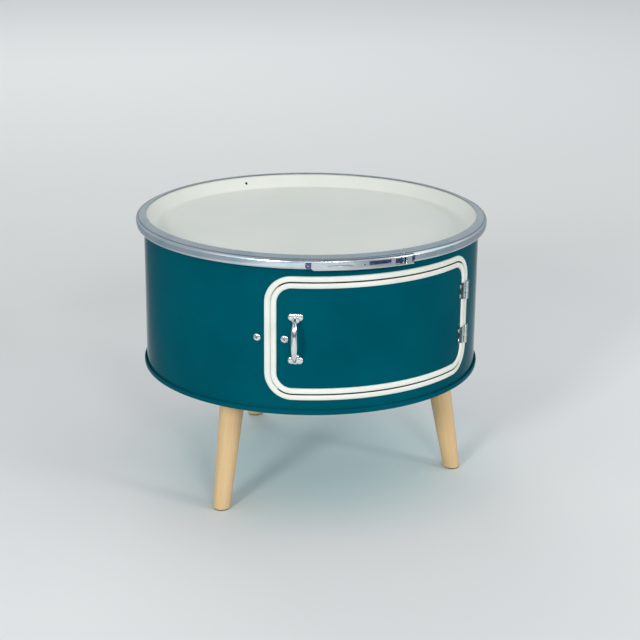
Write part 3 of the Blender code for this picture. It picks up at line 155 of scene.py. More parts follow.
# %% Enamels
def sprayed_enamel(name, deep, mid, pale, rough, peel_mm, index, gleam="#FFFFFF"):
    """Gloss enamel: a slow drift between three close shades, orange peel and dust nibs."""
    made, tree = new_material(name)
    place = node(tree, "TexCoord").outputs["Object"]
    drift = node(tree, "TexNoise", {"Vector": place, "Scale": per_mm(140), "Detail": 3.0})
    shade = node(tree, "ValToRGB", {"Fac": drift})
    tone = colours(shade, (0.3, deep), (0.52, mid), (0.75, pale))
    film = node(tree, "TexNoise", {"Vector": place, "Scale": per_mm(35), "Detail": 5.0})
    gloss = node(tree, "MapRange", {
        "Value": film, "From Min": 0.3, "From Max": 0.75,
        "To Min": rough * 0.92, "To Max": rough * 1.1,
    })
    peel = node(tree, "TexNoise", {"Vector": place, "Scale": per_mm(peel_mm), "Detail": 1.5})
    nibs = node(tree, "TexVoronoi", {"Vector": place, "Scale": per_mm(17)})
    nib = node(tree, "MapRange", {"Value": nibs, "From Max": 0.03, "To Min": 0.1, "To Max": 0.0})
    height = node(tree, "Math", {0: peel, 1: nib}, operation="ADD")
    finish_material(tree, tone, gloss, height, 1.0, 0.000006,
                    {"IOR": index, "Specular Tint": linear(gleam)})
    return made


teal_enamel = sprayed_enamel(
    "teal_two_pack_enamel_sprayed", "#004754", "#004B58", "#00505D", 0.07, 6.0, 1.08, "#30B8D0"
)
cream_enamel = sprayed_enamel(
    "cream_enamel_stoved_on_lid", "#D3D6CD", "#D7D9D1", "#DBDCD4", 0.3, 7.0, 1.3
)
print("enamels:", teal_enamel.name, cream_enamel.name)

# %% [markdown]
# ## Edge profile
# Both cut edges of the door wear a pushed-on profile of extruded cream plastic. At this size only
# a soft sheen, a fine grain and a few darker handled places show.

# %% Extruded plastic edging
edging, tree = new_material("cream_pvc_edge_profile_extruded")
place = node(tree, "TexCoord").outputs["Object"]
handled = node(tree, "TexNoise", {"Vector": place, "Scale": per_mm(60), "Detail": 4.0})
shade = node(tree, "ValToRGB", {"Fac": handled})
tone = colours(shade, (0.28, "#D0D3CA"), (0.5, "#D7DBD3"), (0.8, "#DDE2DB"))
grain = node(tree, "TexNoise", {"Vector": place, "Scale": per_mm(1.2), "Detail": 3.0})
gloss = node(tree, "MapRange", {"Value": grain, "To Min": 0.3, "To Max": 0.5})
finish_material(tree, tone, gloss, grain, 0.6, 0.00003, {"IOR": 1.54})
print("edging:", edging.name)

# %% [markdown]
# ## Zinc, chrome and plain steel
# The clamp ring is rolled from strip that was bright zinc plated: silver with a blue and lilac
# passivation film, and fine lines where the rolls drew it round. Those lines follow the ring, so
# their pattern is laid out in angle, radius and height. A lighter copy of the zinc on its outer face
# is painted light, and a darker copy along its fold is painted shade. A dark violet copy is painted
# shade in the latch's folds, on the lever's pressed grip and on the tension link. The hinges and the
# handle are plated smoother; darkened nickel beside the hinge pins and in the bolts' recesses is
# painted shade. The nuts, studs and latch pins are plain steel with a dull film; the same dark steel
# on the ring's slit edge is painted shade.

# %% Metals
def plated_metal(name, dark, mid, pale, rough_low, rough_high, film_mm, line_mm, line_depth):
    """Plated metal with a slow film of colour, and lines that run round the barrel's axis."""
    made, tree = new_material(name)
    place = node(tree, "TexCoord").outputs["Object"]
    apart = node(tree, "SeparateXYZ", {"Vector": place})
    turn = node(tree, "Math", {0: apart.outputs["X"], 1: apart.outputs["Y"]}, operation="ARCTAN2")
    flat = node(tree, "CombineXYZ", {"X": apart.outputs["X"], "Y": apart.outputs["Y"]})
    reach = node(tree, "VectorMath", {0: flat}, operation="LENGTH")
    slow = node(tree, "Math", {0: turn, 1: 0.004}, operation="MULTIPLY")
    wound = node(tree, "CombineXYZ", {"X": slow, "Y": reach, "Z": apart.outputs["Z"]})
    lines = node(tree, "TexNoise", {"Vector": wound, "Scale": per_mm(line_mm), "Detail": 4.0})
    film = node(tree, "TexNoise", {"Vector": place, "Scale": per_mm(film_mm), "Detail": 3.0})
    shade = node(tree, "ValToRGB", {"Fac": film})
    tone = colours(shade, (0.3, dark), (0.5, mid), (0.72, pale))
    dull = node(tree, "TexNoise", {"Vector": place, "Scale": per_mm(film_mm / 3), "Detail": 5.0})
    both = node(tree, "Math", {0: dull, 1: lines}, operation="ADD")
    gloss = node(tree, "MapRange", {
        "Value": both, "From Min": 0.7, "From Max": 1.35,
        "To Min": rough_low, "To Max": rough_high,
    })
    finish_material(tree, tone, gloss, lines, 1.0, line_depth, {"Metallic": 1.0})
    return made


bright_zinc = plated_metal(
    "bright_zinc_plated_strip_rolled", "#C6D3DA", "#D3DBDF", "#D9DAE1", 0.14, 0.3, 45, 0.9, 0.00001
)
zinc_painted_face_light = plated_metal(
    "bright_zinc_lightened_as_painted_face_light",
    "#CCE0EC", "#DCE9F2", "#E4E6F0", 0.12, 0.26, 45, 0.9, 0.00001
)
zinc_painted_fold_shade = plated_metal(
    "bright_zinc_darkened_as_painted_fold_shade",
    "#95A1AB", "#A0ABB5", "#A8ABBA", 0.16, 0.32, 45, 0.9, 0.00001
)
chrome = plated_metal(
    "chrome_plated_casting_polished", "#DEE3E4", "#E6EAEA", "#EBEDEC", 0.05, 0.14, 16, 2.0, 0.000004
)
nickel = plated_metal(
    "nickel_plated_pressed_steel", "#C8D4D6", "#D4DEDF", "#DEE4E3", 0.1, 0.24, 9, 0.6, 0.000008
)
zinc_painted_violet_shade = plated_metal(
    "zinc_dark_violet_painted_shade",
    "#3C3F5C", "#55597A", "#6B6E8E", 0.18, 0.34, 6, 0.9, 0.00001
)
nickel_painted_shade = plated_metal(
    "nickel_darkened_as_painted_shade", "#404D4B", "#525F5D", "#697573", 0.22, 0.4, 5, 0.6, 0.00001
)
plain_steel_and_edge_shade = plated_metal(
    "plain_steel_turned_oiled_and_painted_edge_shade", "#7F8488", "#8E9295", "#9A9C9C", 0.28, 0.45, 7, 0.5, 0.00002
)
print("metals:", [m.name for m in (bright_zinc, chrome, nickel, plain_steel_and_edge_shade)])

# %% [markdown]
# ## Beech
# The legs are turned from beech and oiled. Beech is pale and even, with soft growth bands a few
# millimetres apart and short darker ray flecks along the grain. Each leg leans its own way, so
# the pattern is read from a vector stored on the leg's points: its own length and cross-section.

# %% Oiled beech
beech, tree = new_material("beech_turned_and_oiled")
grain_place = node(tree, "Attribute", attribute_name="grain").outputs["Vector"]
stretch = node(tree, "Mapping", {"Vector": grain_place, "Scale": (1.0, 1.0, 0.06)})
drift = node(tree, "TexNoise", {"Vector": stretch, "Scale": per_mm(9), "Detail": 4.0})
pith = node(tree, "Mapping", {
    "Vector": grain_place, "Location": (0.031, 0.012, 0), "Scale": (1, 1, 0),
})
reach = node(tree, "VectorMath", {0: pith}, operation="LENGTH")
wander = node(tree, "Math", {0: drift, 1: 0.006, 2: reach}, operation="MULTIPLY_ADD")
years = node(tree, "Math", {0: wander, 1: per_mm(2.6) * math.tau}, operation="MULTIPLY")
bands = node(tree, "Math", {0: years}, operation="SINE")
band_share = node(tree, "MapRange", {
    "Value": bands, "From Min": -1.0, "To Min": 0.42, "To Max": 0.58,
})
mixed = node(tree, "Math", {0: band_share, 1: drift}, operation="ADD")
halved = node(tree, "Math", {0: mixed, 1: 0.5}, operation="MULTIPLY")
shade = node(tree, "ValToRGB", {"Fac": halved})
tone = colours(shade, (0.3, "#C4A270"), (0.5, "#CCAD7F"), (0.7, "#D4B88C"))
fleck_map = node(tree, "Mapping", {"Vector": grain_place, "Scale": (1.0, 1.0, 0.2)})
flecks = node(tree, "TexVoronoi", {"Vector": fleck_map, "Scale": per_mm(1.4)})
fleck = node(tree, "MapRange", {
    "Value": flecks, "From Min": 0.1, "From Max": 0.28,
    "To Min": 0.45, "To Max": 0.0,
})
flecked = node(tree, "Mix", {0: fleck, 6: tone, 7: linear("#B8925F")}, data_type="RGBA")
gloss = node(tree, "MapRange", {"Value": drift, "To Min": 0.36, "To Max": 0.56})
pores = node(tree, "TexNoise", {"Vector": stretch, "Scale": per_mm(0.8), "Detail": 3.0})
finish_material(tree, flecked, gloss, pores, 0.7, 0.00006, {"IOR": 1.47})
print("wood:", beech.name)

# %% [markdown]
# ## Rubber, felt and ferrite
# Plain matt materials for parts that few people will see. The lid's gasket is moulded rubber with a
# dusty bloom, the pads under the feet are pressed wool felt, and the catch holds a sintered ferrite
# magnet, nearly black and slightly grainy. The edge profiles' faces in the door gap get a red-brown
# matt colour as painted shade.

# %% Rubber, felt and ferrite
def grainy(name, dark, pale, rough, grain_mm, depth, sheen=0.0):
    """A matt material whose colour and height follow one fine grain."""
    made, tree = new_material(name)
    place = node(tree, "TexCoord").outputs["Object"]
    grain = node(tree, "TexNoise", {"Vector": place, "Scale": per_mm(grain_mm), "Detail": 5.0})
    shade = node(tree, "ValToRGB", {"Fac": grain})
    tone = colours(shade, (0.3, dark), (0.7, pale))
    gloss = node(tree, "MapRange", {"Value": grain, "To Min": rough - 0.08, "To Max": rough + 0.04})
    finish_material(tree, tone, gloss, grain, 0.9, depth, {"Sheen Weight": sheen})
    return made


rubber = grainy("black_nitrile_rubber_moulded", "#1A1B1C", "#2B2C2D", 0.7, 1.5, 0.00005)
gap_painted_shade = grainy("red_brown_painted_shade_in_the_gap", "#4E2418", "#653425", 0.6, 1.2, 0.00003)
felt = grainy("brown_wool_felt_pressed", "#4A3A2C", "#7A644E", 0.92, 0.7, 0.0004, 0.5)
ferrite = grainy("ferrite_magnet_sintered", "#26272A", "#36373A", 0.6, 0.9, 0.00005)
print("matt:", [m.name for m in (rubber, gap_painted_shade, felt, ferrite)])

# %% [markdown]
# ## Small helpers for shapes
# A piece starts as a bmesh, and one function turns it into an object: it merges doubles, points
# the faces outwards, shades the round parts smooth and keeps real edges sharp. The finished piece
# sits at the origin with its place in its mesh, rides on a body and takes the place of its solid.

# %% Turn a bmesh into a piece
SHARP = 32


def mesh_of(name, shape):
    """A mesh with what a bmesh holds, which is freed."""
    mesh = bpy.data.meshes.new(name)
    shape.to_mesh(mesh)
    shape.free()
    return mesh


def piece(name, shape, look, body, stands_for, merge=0.00001, sharp=SHARP):
    """Makes the object, hangs it on a body, and hides the solids that it stands for."""
    bmesh.ops.remove_doubles(shape, verts=shape.verts, dist=merge)
    bmesh.ops.recalc_face_normals(shape, faces=shape.faces)
    mesh = mesh_of(name, shape)
    mesh.shade_smooth()
    mesh.set_sharp_from_angle(angle=math.radians(sharp))
    mesh.materials.append(look)
    made = placed(name, mesh)
    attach(made, body)
    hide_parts(*stands_for)
    print(f"{name}: {len(mesh.vertices)} points, {len(mesh.polygons)} faces on {body}")
    return made


def carve(target, cutter_shape):
    """Cuts a closed bmesh out of a piece, for good."""
    bmesh.ops.recalc_face_normals(cutter_shape, faces=cutter_shape.faces)
    tool = placed("cutter", mesh_of("cutter", cutter_shape))
    cut = target.modifiers.new("cut", "BOOLEAN")
    cut.operation = "DIFFERENCE"
    cut.solver = "EXACT"
    cut.object = tool
    bpy.context.view_layer.update()
    view = bpy.context.evaluated_depsgraph_get()
    carved = bpy.data.meshes.new_from_object(target.evaluated_get(view))
    target.modifiers.clear()
    old, name = target.data, target.data.name
    target.data = carved
    bpy.data.meshes.remove(old)
    carved.name = name
    bpy.data.objects.remove(tool)
    carved.shade_smooth()
    carved.set_sharp_from_angle(angle=math.radians(SHARP))
    print(f"{target.name}: cut, now {len(carved.polygons)} faces")


# %% [markdown]
# Two ways of working cover most of this table. A *spun sheet* is a bent line, its corners rounded
# by a vertex bevel, turned round the axis and given its thickness: lid, ring and bottom. A *rolled
# blank* is cut flat with its holes, as in the workshop, and then bent to a line: wall, door,
# hinge leaves and the latch's straps.

# %% Spun sheets
STEPS = 192


def chain(shape, points, closed=False):
    """Adds points with edges from each to the next. Gives the new points and edges."""
    verts = [shape.verts.new(point) for point in points]
    after = verts[1:] + verts[:1] if closed else verts[1:]
    return verts, [shape.edges.new(pair) for pair in zip(verts, after)]


def slice_at(shape, place, way, dist=0.000001, clear_inner=False):
    """Cuts all faces along a plane. clear_inner drops what lies behind it."""
    return bmesh.ops.bisect_plane(shape, geom=shape.verts[:] + shape.edges[:] + shape.faces[:],
                                  dist=dist, plane_co=place, plane_no=way, clear_inner=clear_inner)


def spun_sheet(path, bends, thickness, turn=math.tau, start=0.0, steps=STEPS):
    """Turns a line of (radius, height) points round the axis. bends rounds each inner corner."""
    shape = bmesh.new()
    verts = chain(shape, [(0, -r, z) for r, z in path])[0]
    for vert, offset in zip(verts[1:-1], bends):
        if offset:
            bmesh.ops.bevel(shape, geom=[vert], offset=offset, segments=4, profile=0.5,
                            affect="VERTICES")
    bmesh.ops.rotate(shape, verts=shape.verts, matrix=Matrix.Rotation(start, 3, "Z"))
    whole = abs(turn - math.tau) < 1e-6
    bmesh.ops.spin(shape, geom=shape.verts[:] + shape.edges[:], axis=(0, 0, 1), angle=turn,
                   steps=steps, use_merge=whole)
    bmesh.ops.remove_doubles(shape, verts=shape.verts, dist=0.00001)
    bmesh.ops.recalc_face_normals(shape, faces=shape.faces)
    shape.normal_update()
    for vert, shift in [(v, v.normal * thickness / 2 * v.calc_shell_factor()) for v in shape.verts]:
        if Vector((vert.co.x, vert.co.y)).length > 0.0001:
            vert.co += shift
        else:
            vert.co.z += math.copysign(thickness / 2, vert.normal.z)
    bmesh.ops.solidify(shape, geom=shape.faces[:], thickness=thickness)
    return shape


print("spun sheets use", STEPS, "steps, one every", round(360 / STEPS, 3), "degrees")

# %% Lines to bend along
def rail(points):
    """Length so far, place and mitred side vector at each point of a line in a plane."""
    points = [Vector(p) for p in points]
    ways = [(b - a).normalized() for a, b in zip(points, points[1:])]
    sides = [Vector((w.y, -w.x)) for w in ways]
    mitres = [(a + b) / (1 + a.dot(b)) for a, b in zip(sides[:1] + sides, sides + sides[-1:])]
    lengths = [0.0]
    for a, b in zip(points, points[1:]):
        lengths.append(lengths[-1] + (b - a).length)
    return list(zip(lengths, points, mitres))


def on_rail(line, along, off):
    """A point at a length along a rail, moved off to its side."""
    for (s0, p0, m0), (s1, p1, m1) in zip(line, line[1:]):
        if along <= s1 or s1 == line[-1][0]:
            share = (along - s0) / (s1 - s0)
            return (p0 + m0 * off).lerp(p1 + m1 * off, share)


def scores(line):
    """The lengths along a rail at which a sheet is bent."""
    return [station[0] for station in line[1:-1]]


def arc(centre, radius, start, turn, steps):
    """Points on an arc in a plane, from a start angle through a signed turn."""
    angles = [start + turn * i / steps for i in range(steps + 1)]
    return [(centre[0] + radius * math.cos(a), centre[1] + radius * math.sin(a)) for a in angles]


quarter = rail(arc((0, 0), 1, 0, math.pi / 2, 8))
print("a quarter bend of radius 1 is", round(quarter[-1][0], 3), "long")

# %% Rolled blanks
def blank(outline, holes=(), columns=(), rows=(), thickness=0.0):
    """A flat sheet with holes, scored along every column and row, then given its thickness."""
    shape = bmesh.new()
    edges = []
    for loop in (outline, *holes):
        edges += chain(shape, [(x, 0, z) for x, z in loop], closed=True)[1]
    bmesh.ops.triangle_fill(shape, use_beauty=True, edges=edges)
    for across, places in ((Vector((1, 0, 0)), columns), (Vector((0, 0, 1)), rows)):
        for place in places:
            slice_at(shape, across * place, across)
    bmesh.ops.dissolve_degenerate(shape, dist=0.000001, edges=shape.edges[:])
    raised = bmesh.ops.extrude_face_region(shape, geom=shape.faces[:])
    fronts = [v for v in raised["geom"] if isinstance(v, bmesh.types.BMVert)]
    bmesh.ops.translate(shape, verts=shape.verts, vec=(0, thickness / 2, 0))
    bmesh.ops.translate(shape, verts=fronts, vec=(0, -thickness, 0))
    return shape


def bend(shape, place):
    """Moves every point of a flat shape: place gets along, outwards and height."""
    for vert in shape.verts:
        vert.co = place(vert.co.x, -vert.co.y, vert.co.z)
    return shape


def bend_upright(shape, line):
    """Bends a flat shape along a rail in plan, so that the sheet stands on edge."""
    def lay(along, out, height):
        point = on_rail(line, max(along, 0.0), out)
        return Vector((point.x, point.y, height))

    return bend(shape, lay)


def both_sides(upper, middle=0.0):
    """The upper half of an outline, then its mirror image below a middle line."""
    return upper + [(x, 2 * middle - z) for x, z in reversed(upper)]


def rounded(width, height, radius, middle=(0, 0), steps=8):
    """Outline of a rectangle with round corners, as (along, height) points."""
    points = []
    for corner, (sx, sz) in enumerate([(1, 1), (-1, 1), (-1, -1), (1, -1)]):
        centre = (middle[0] + sx * (width / 2 - radius), middle[1] + sz * (height / 2 - radius))
        points += arc(centre, radius, math.pi / 2 * corner, math.pi / 2, steps)
    return points


def plan(distance, angle):
    """A point in plan, at a distance from the axis and an angle round from the door's middle."""
    return distance * math.sin(angle), -distance * math.cos(angle)


def cylinder(distance, angle, height):
    """The same point at a height."""
    return Vector((*plan(distance, angle), height))


def second_finish(made, look, test):
    """Another finish for the faces whose middle passes a test of radius, degrees and height."""
    made.data.materials.append(look)
    changed = 0
    for face in made.data.polygons:
        x, y, z = face.center
        if test(math.hypot(x, y), math.degrees(math.atan2(x, -y)), z):
            face.material_index = len(made.data.materials) - 1
            changed += 1
    print(f"{made.name}: {changed} faces in {look.name}")


print("helpers ready")

# %% [markdown]
# ## The barrel's wall
# The real wall is one strip of 1.2 mm sheet: the door is cut out of it, the strip is rolled, and
# its top edge is curled outwards over a mandrel. The same order works here: a flat blank with the
# opening, scored into 192 columns and the rows of the curl, then rolled by one function.

# %% Roll the wall
WALL, SHEET, CLEAR = 0.2865, 0.0012, 0.0003
WALL_MID = WALL - SHEET / 2
PITCH = math.tau * WALL / STEPS
DOOR_WIDTH, DOOR_TALL, DOOR_ROUND, DOOR_MIDDLE = 0.374, 0.1858, 0.035, 0.3277
EDGE_BACK = 0.00305
CURL_LEVEL, CURL_ROUND = 0.4525, 0.0039
FOOT_LEVEL = 0.2024


def door_edge(offset, steps=14):
    """Outline of the door's rounded opening, moved outwards by an offset."""
    return rounded(DOOR_WIDTH + 2 * offset, DOOR_TALL + 2 * offset, DOOR_ROUND + offset,
                   (0, DOOR_MIDDLE), steps)


wall_line = rail(
    [(WALL_MID + 0.0028, FOOT_LEVEL), (WALL_MID, FOOT_LEVEL + 0.002)]
    + arc((WALL_MID + CURL_ROUND, CURL_LEVEL), CURL_ROUND, math.pi, -math.radians(265), 14)
)
straight = wall_line[1][0] - (FOOT_LEVEL + 0.002)
top_edge = wall_line[-1][0]
half_round = math.pi * WALL
wall_blank = blank(
    [(-half_round, 0), (half_round, 0), (half_round, top_edge), (-half_round, top_edge)],
    [[(x, z + straight) for x, z in door_edge(EDGE_BACK)]],
    columns=[PITCH * i for i in range(-STEPS // 2 + 1, STEPS // 2)],
    rows=scores(wall_line), thickness=SHEET,
)
seam_faces = [f for f in wall_blank.faces
              if all(abs(abs(v.co.x) - half_round) < 1e-6 for v in f.verts)]
bmesh.ops.delete(wall_blank, geom=seam_faces, context="FACES_ONLY")


def roll_wall(along, out, height):
    radius, level = on_rail(wall_line, height, -out)
    return cylinder(radius, along / WALL, level)


piece("barrel_wall", bend(wall_blank, roll_wall), teal_enamel, "barrel", ["drum_shell"])

# %% [markdown]
# ## Bottom and its seam
# The bottom is a pressed disc, sunk inside the wall. Its edge is folded down, out and up round the
# wall's foot, which makes the thick round rim that the barrel stands on. It is one spun sheet.

# %% Spin the bottom
HEAD_LEVEL = 0.218
bottom_side = WALL - SHEET - 0.00055 - SHEET / 2
bottom_path = [
    (0.0, HEAD_LEVEL), (bottom_side, HEAD_LEVEL), (bottom_side, 0.2006),
    (bottom_side + 0.006, 0.2006), (bottom_side + 0.006, 0.2075), (bottom_side + 0.0042, 0.2079),
]
bottom_shape = spun_sheet(bottom_path, [0.0045, 0.0018, 0.0022, 0.0006], SHEET)
piece("barrel_bottom", bottom_shape, teal_enamel, "barrel", ["drum_bottom"])

# %% [markdown]
# ## The lid
# The lid is the tray: a flat panel, a soft groove round it, a sloping wall that stands up to the
# clamp ring, and a flange that turns down over the curl. A small hole in the wall at the back is
# where it hung in the paint shop.

# %% Spin the lid
lid_path = [
    (0.0, 0.4419), (0.2455, 0.4419), (0.2565, 0.4406), (0.2656, 0.4418), (0.2815, 0.4613),
    (0.2853, 0.4624), (0.2924, 0.4599), (0.2955, 0.4575), (0.2955, 0.4545),
]
lid_shape = spun_sheet(lid_path, [0.003, 0.003, 0.0022, 0.0018, 0.0022, 0.001, 0.001], SHEET)
lid = piece("lid_tray", lid_shape, cream_enamel, "barrel", ["lid"])
HOLE_ROUND, HOLE_TURN = 0.0023, math.radians(1.8)
hole_place = Matrix.Rotation(HOLE_TURN, 4, "Z") @ Matrix.Translation((0, 0.2745, 0.4525))
hole = bmesh.new()
bmesh.ops.create_cone(hole, cap_ends=True, segments=24, radius1=HOLE_ROUND, radius2=HOLE_ROUND,
                      depth=0.02, matrix=hole_place @ Matrix.Rotation(math.pi / 2, 4, "X"))
carve(lid, hole)

# %% [markdown]
# ## The clamp ring
# A C-section ring is roll-formed from one strip: a sloping flange over the lid's crest, a flat face
# outside and a lip under the curl. It is open at the front, where the latch draws its ends
# together, so it is spun through a little less than a full turn. Three bands get a colour of their
# own: a lighter zinc on the outer face is painted light, and a darker zinc on the fold above it and
# dark steel on the slit inner edge are painted shade.

# %% Spin the clamp ring
RING, LATCH_SHEET, RING_FOLD, RING_GAP = 0.2998, 0.0015, 0.0047, math.radians(0.6)
ring_mid = RING - LATCH_SHEET / 2
ring_path = (
    [(ring_mid - 0.0167, 0.4637), (ring_mid - 0.0125, 0.4644), (ring_mid - RING_FOLD, 0.4609)]
    + arc((ring_mid - 0.0055, 0.4552), 0.0055, math.radians(63), -math.radians(63), 9)
    + [(ring_mid, 0.4500), (ring_mid - 0.0006, 0.4478), (ring_mid - 0.0018, 0.4456),
       (ring_mid - 0.0088, 0.4468)]
)
ring_bends = [0.0018] + [0.0] * 11 + [0.0015, 0.0009, 0.0010]
ring_shape = spun_sheet(ring_path, ring_bends, LATCH_SHEET, math.tau - RING_GAP,
                        math.radians(5.3), STEPS - 1)
ring = piece("clamp_ring_strip", ring_shape, bright_zinc, "barrel", ["clamp_ring"])
# painted light: a lighter copy of the zinc on the ring's outer face
second_finish(ring, zinc_painted_face_light, lambda reach, degrees, height: reach > ring_mid + 0.0003)
# painted shade: a darker copy of the zinc along the ring's fold
second_finish(ring, zinc_painted_fold_shade, lambda reach, degrees, height:
              ring_mid - RING_FOLD < reach < ring_mid - 0.0020 and height > 0.4590)
# painted shade: the ring's slit inner edge gets the dark steel
second_finish(ring, plain_steel_and_edge_shade, lambda reach, degrees, height:
              reach < ring_mid - 0.0165 and height > 0.4590)

# %% [markdown]
# ## The door and its two edge profiles
# The door is the piece that was cut from the wall, so it is the same blank work: a rounded
# rectangle, scored and rolled. Each cream profile is one hollow strip pushed over a cut edge. Its
# section is drawn once, as steps away from the gap, and a loop round the door is extruded from each
# point of the section to the next. The section is crowned like a bead, which gives the two bright
# lines that run round the door in the photograph. On the free side the door sits closer, so the
# frame's profile is pushed towards it there.

# %% Roll the door
DOOR_GAP, DRAWN_IN = 0.0015, 0.0010
door_columns = [PITCH * i for i in range(-22, 23)]
door_shape = blank(door_edge(-EDGE_BACK), columns=door_columns, thickness=SHEET)


def roll_sheet(along, out, height):
    return cylinder(WALL_MID + out, along / WALL, height)


piece("door_sheet", bend(door_shape, roll_sheet), teal_enamel, "door", ["door_panel"])

# %% Sweep the edge profiles
bead_top, bead_back = WALL + 0.003, WALL - SHEET - 0.0027
bead_section = (
    [(0.0, bead_back + 0.0006), (0.0, bead_top - 0.0021)]
    + arc((0.0021, bead_top - 0.0021), 0.0021, math.pi, -math.pi / 2, 5)[1:]
    + [(0.0046, bead_top)]
    + [(0.0092 - 0.0030 * (1 - math.sin(a)), WALL + CLEAR + 0.0027 * math.cos(a))
       for a in (0.35, 0.7, 1.05, 1.35)]
    + [(0.0092, WALL + CLEAR), (0.0020, WALL + CLEAR), (0.0020, WALL - SHEET - CLEAR),
       (0.0070, WALL - SHEET - CLEAR), (0.0070, bead_back), (0.0006, bead_back)]
)


def outwards(point):
    """The step to a point from the rectangle between the door's corner centres."""
    wide, tall = DOOR_WIDTH / 2 - DOOR_ROUND, DOOR_TALL / 2 - DOOR_ROUND
    x = min(max(point.x, -wide), wide)
    z = min(max(point.z, DOOR_MIDDLE - tall), DOOR_MIDDLE + tall)
    return point - Vector((x, point.y, z))


def edge_bead(name, side, body, node_name):
    """Draws the section round the door: side is 1 on the wall's edge, -1 on the door's."""
    shape = bmesh.new()
    start, radius = bead_section[0]
    edge = door_edge(side * (DOOR_GAP / 2 + start), 16)
    loop = chain(shape, [(x, WALL - radius, z) for x, z in edge], closed=True)[1]
    for (before, last), (step, radius) in zip(bead_section, bead_section[1:] + bead_section[:1]):
        grown = bmesh.ops.extrude_edge_only(shape, edges=loop)["geom"]
        fresh = {v for v in grown if isinstance(v, bmesh.types.BMVert)}
        loop = [e for e in grown if isinstance(e, bmesh.types.BMEdge) and fresh.issuperset(e.verts)]
        for vert in fresh:
            vert.co += outwards(vert.co).normalized() * side * (step - before)
            vert.co.y += last - radius
    for vert in shape.verts:
        step = outwards(vert.co)
        if side > 0 and step.length < DOOR_ROUND + DOOR_GAP / 2 + 0.0001:
            way = step.normalized()
            vert.co -= way * DRAWN_IN * max(0.0, -way.x) ** 3
    for place in door_columns:
        slice_at(shape, (place, 0, 0), (1, 0, 0))
    bend(shape, lambda along, out, height: cylinder(WALL + out, along / WALL, height))
    made = piece(name, shape, edging, body, [node_name], sharp=40)

    def in_the_gap(reach, degrees, height):
        step = outwards(Vector((math.radians(degrees) * WALL, 0, height)))
        beside = abs(step.length - DOOR_ROUND - side * DOOR_GAP / 2) < 0.0003
        return beside and abs(step.z) > 0.75 * step.length and reach > WALL - 0.004

    # painted shade: the profile's faces that look into the gap are red-brown
    second_finish(made, gap_painted_shade, in_the_gap)


edge_bead("opening_edge_bead", 1, "barrel", "opening_trim")
edge_bead("door_edge_bead", -1, "door", "door_trim")

# %% [markdown]
# ## Hinges
# A butterfly hinge leaf is stamped flat, cranked so that it steps over the edge profile, and rolled
# into knuckles round the pin. The blank is drawn as distance from the pin and height, with the two
# round lobes at its far end, and then laid along a rail that makes the crank and the roll.

# %% Bend the hinge leaves
HINGE_TURN = DOOR_WIDTH / 2 / WALL
HINGE_PIN, HINGE_EYE, LEAF = 0.2927, 0.0021, 0.0012
LEAF_TALL, LEAF_NECK, LEAF_RAMP = 0.029, 0.0105, 0.0022
LOBE_REACH, LOBE_SPREAD, LOBE_ROUND = 0.016, 0.008, 0.0052
KNUCKLE_GAP, KNUCKLE_ROOM, FULL_ROLL = 0.0002, 0.0036, math.radians(300)
EASE, ROLL_START, SHADE_NEAR_PIN, SHADE_FAR_PIN = 0.0008, 0.003, 0.0106, 0.0136
SIDES = ((1, "frame", "barrel"), (-1, "door", "door"))
hinge_levels = {"upper": DOOR_MIDDLE + 0.0384, "lower": DOOR_MIDDLE - 0.0384}


def eye(pin_angle, distance, radius, start, turn, steps=14, inset=0.0):
    """Plan of a sheet rolled round a pin. Angles run from the ring's tangent, outwards."""
    centre, spin = Vector(plan(distance, pin_angle)), Matrix.Rotation(pin_angle, 2)
    points = arc((0, -inset), radius, start, turn, steps)
    return [tuple(centre + spin @ Vector((x, -y))) for x, y in points]


def hinge_leaf(name, level, side, body):
    """Bends one leaf. side is 1 for the frame's, which has two knuckles, and -1 for the door's."""
    flat, over = WALL + CLEAR + LEAF / 2, HINGE_PIN - HINGE_EYE
    ends = [LOBE_REACH + LOBE_ROUND, LEAF_NECK + LEAF_RAMP + EASE, LEAF_NECK + LEAF_RAMP]
    starts = [LEAF_NECK, LEAF_NECK - EASE, ROLL_START]
    line = [plan(flat, HINGE_TURN + side * x / WALL) for x in ends]
    line += [plan(over, HINGE_TURN + side * x / WALL) for x in starts]
    line += eye(HINGE_TURN, HINGE_PIN, HINGE_EYE, -math.pi / 2, -side * FULL_ROLL)
    leaf_rail = rail(line)
    reach = leaf_rail[6][0]
    half, roll_end = LEAF_TALL / 2, -FULL_ROLL * HINGE_EYE
    lobe = arc((LOBE_REACH, LOBE_SPREAD), LOBE_ROUND, math.pi / 2, -math.radians(175), 14)
    tip, middle = (roll_end, KNUCKLE_ROOM) if side > 0 else (KNUCKLE_ROOM, roll_end)
    third = LEAF_TALL / 6 + side * KNUCKLE_GAP
    outline = both_sides([(middle, third), (tip, third), (tip, half), (LEAF_NECK / 2, half), *lobe])
    shape = blank([(reach - x, z + level) for x, z in outline], columns=scores(leaf_rail),
                  thickness=LEAF)
    shape = bend_upright(shape, leaf_rail)
    made = piece(name, shape, nickel, body, [f"hinge_{name}"], sharp=40)
    pin_degrees = math.degrees(HINGE_TURN)
    near, far = (math.degrees(away / WALL) for away in (SHADE_NEAR_PIN, SHADE_FAR_PIN))
    # painted shade: the leaf's crank beside the pin is darkened nickel
    second_finish(made, nickel_painted_shade, lambda reach, degrees, height:
                  near < (degrees - pin_degrees) * side < far)


for where, level in hinge_levels.items():
    for side, kind, body in SIDES:
        hinge_leaf(f"{kind}_leaf_{where}", level, side, body)

# %% [markdown]
# ## Screws and bolts
# Turned parts start as half a section, spun round their own axis and then stood on the wall. The
# small hinge screws and the two round-headed bolts have a pressed cross recess in the head, cut
# with two thin crossed blades.

# %% Turned parts
def standing(arc_length, height, distance):
    """A matrix whose Z points out of the wall at a place on it."""
    angle = arc_length / WALL
    lean = Matrix.Rotation(angle, 4, "Z") @ Matrix.Rotation(math.pi / 2, 4, "X")
    return Matrix.Translation(cylinder(distance, angle, height)) @ lean


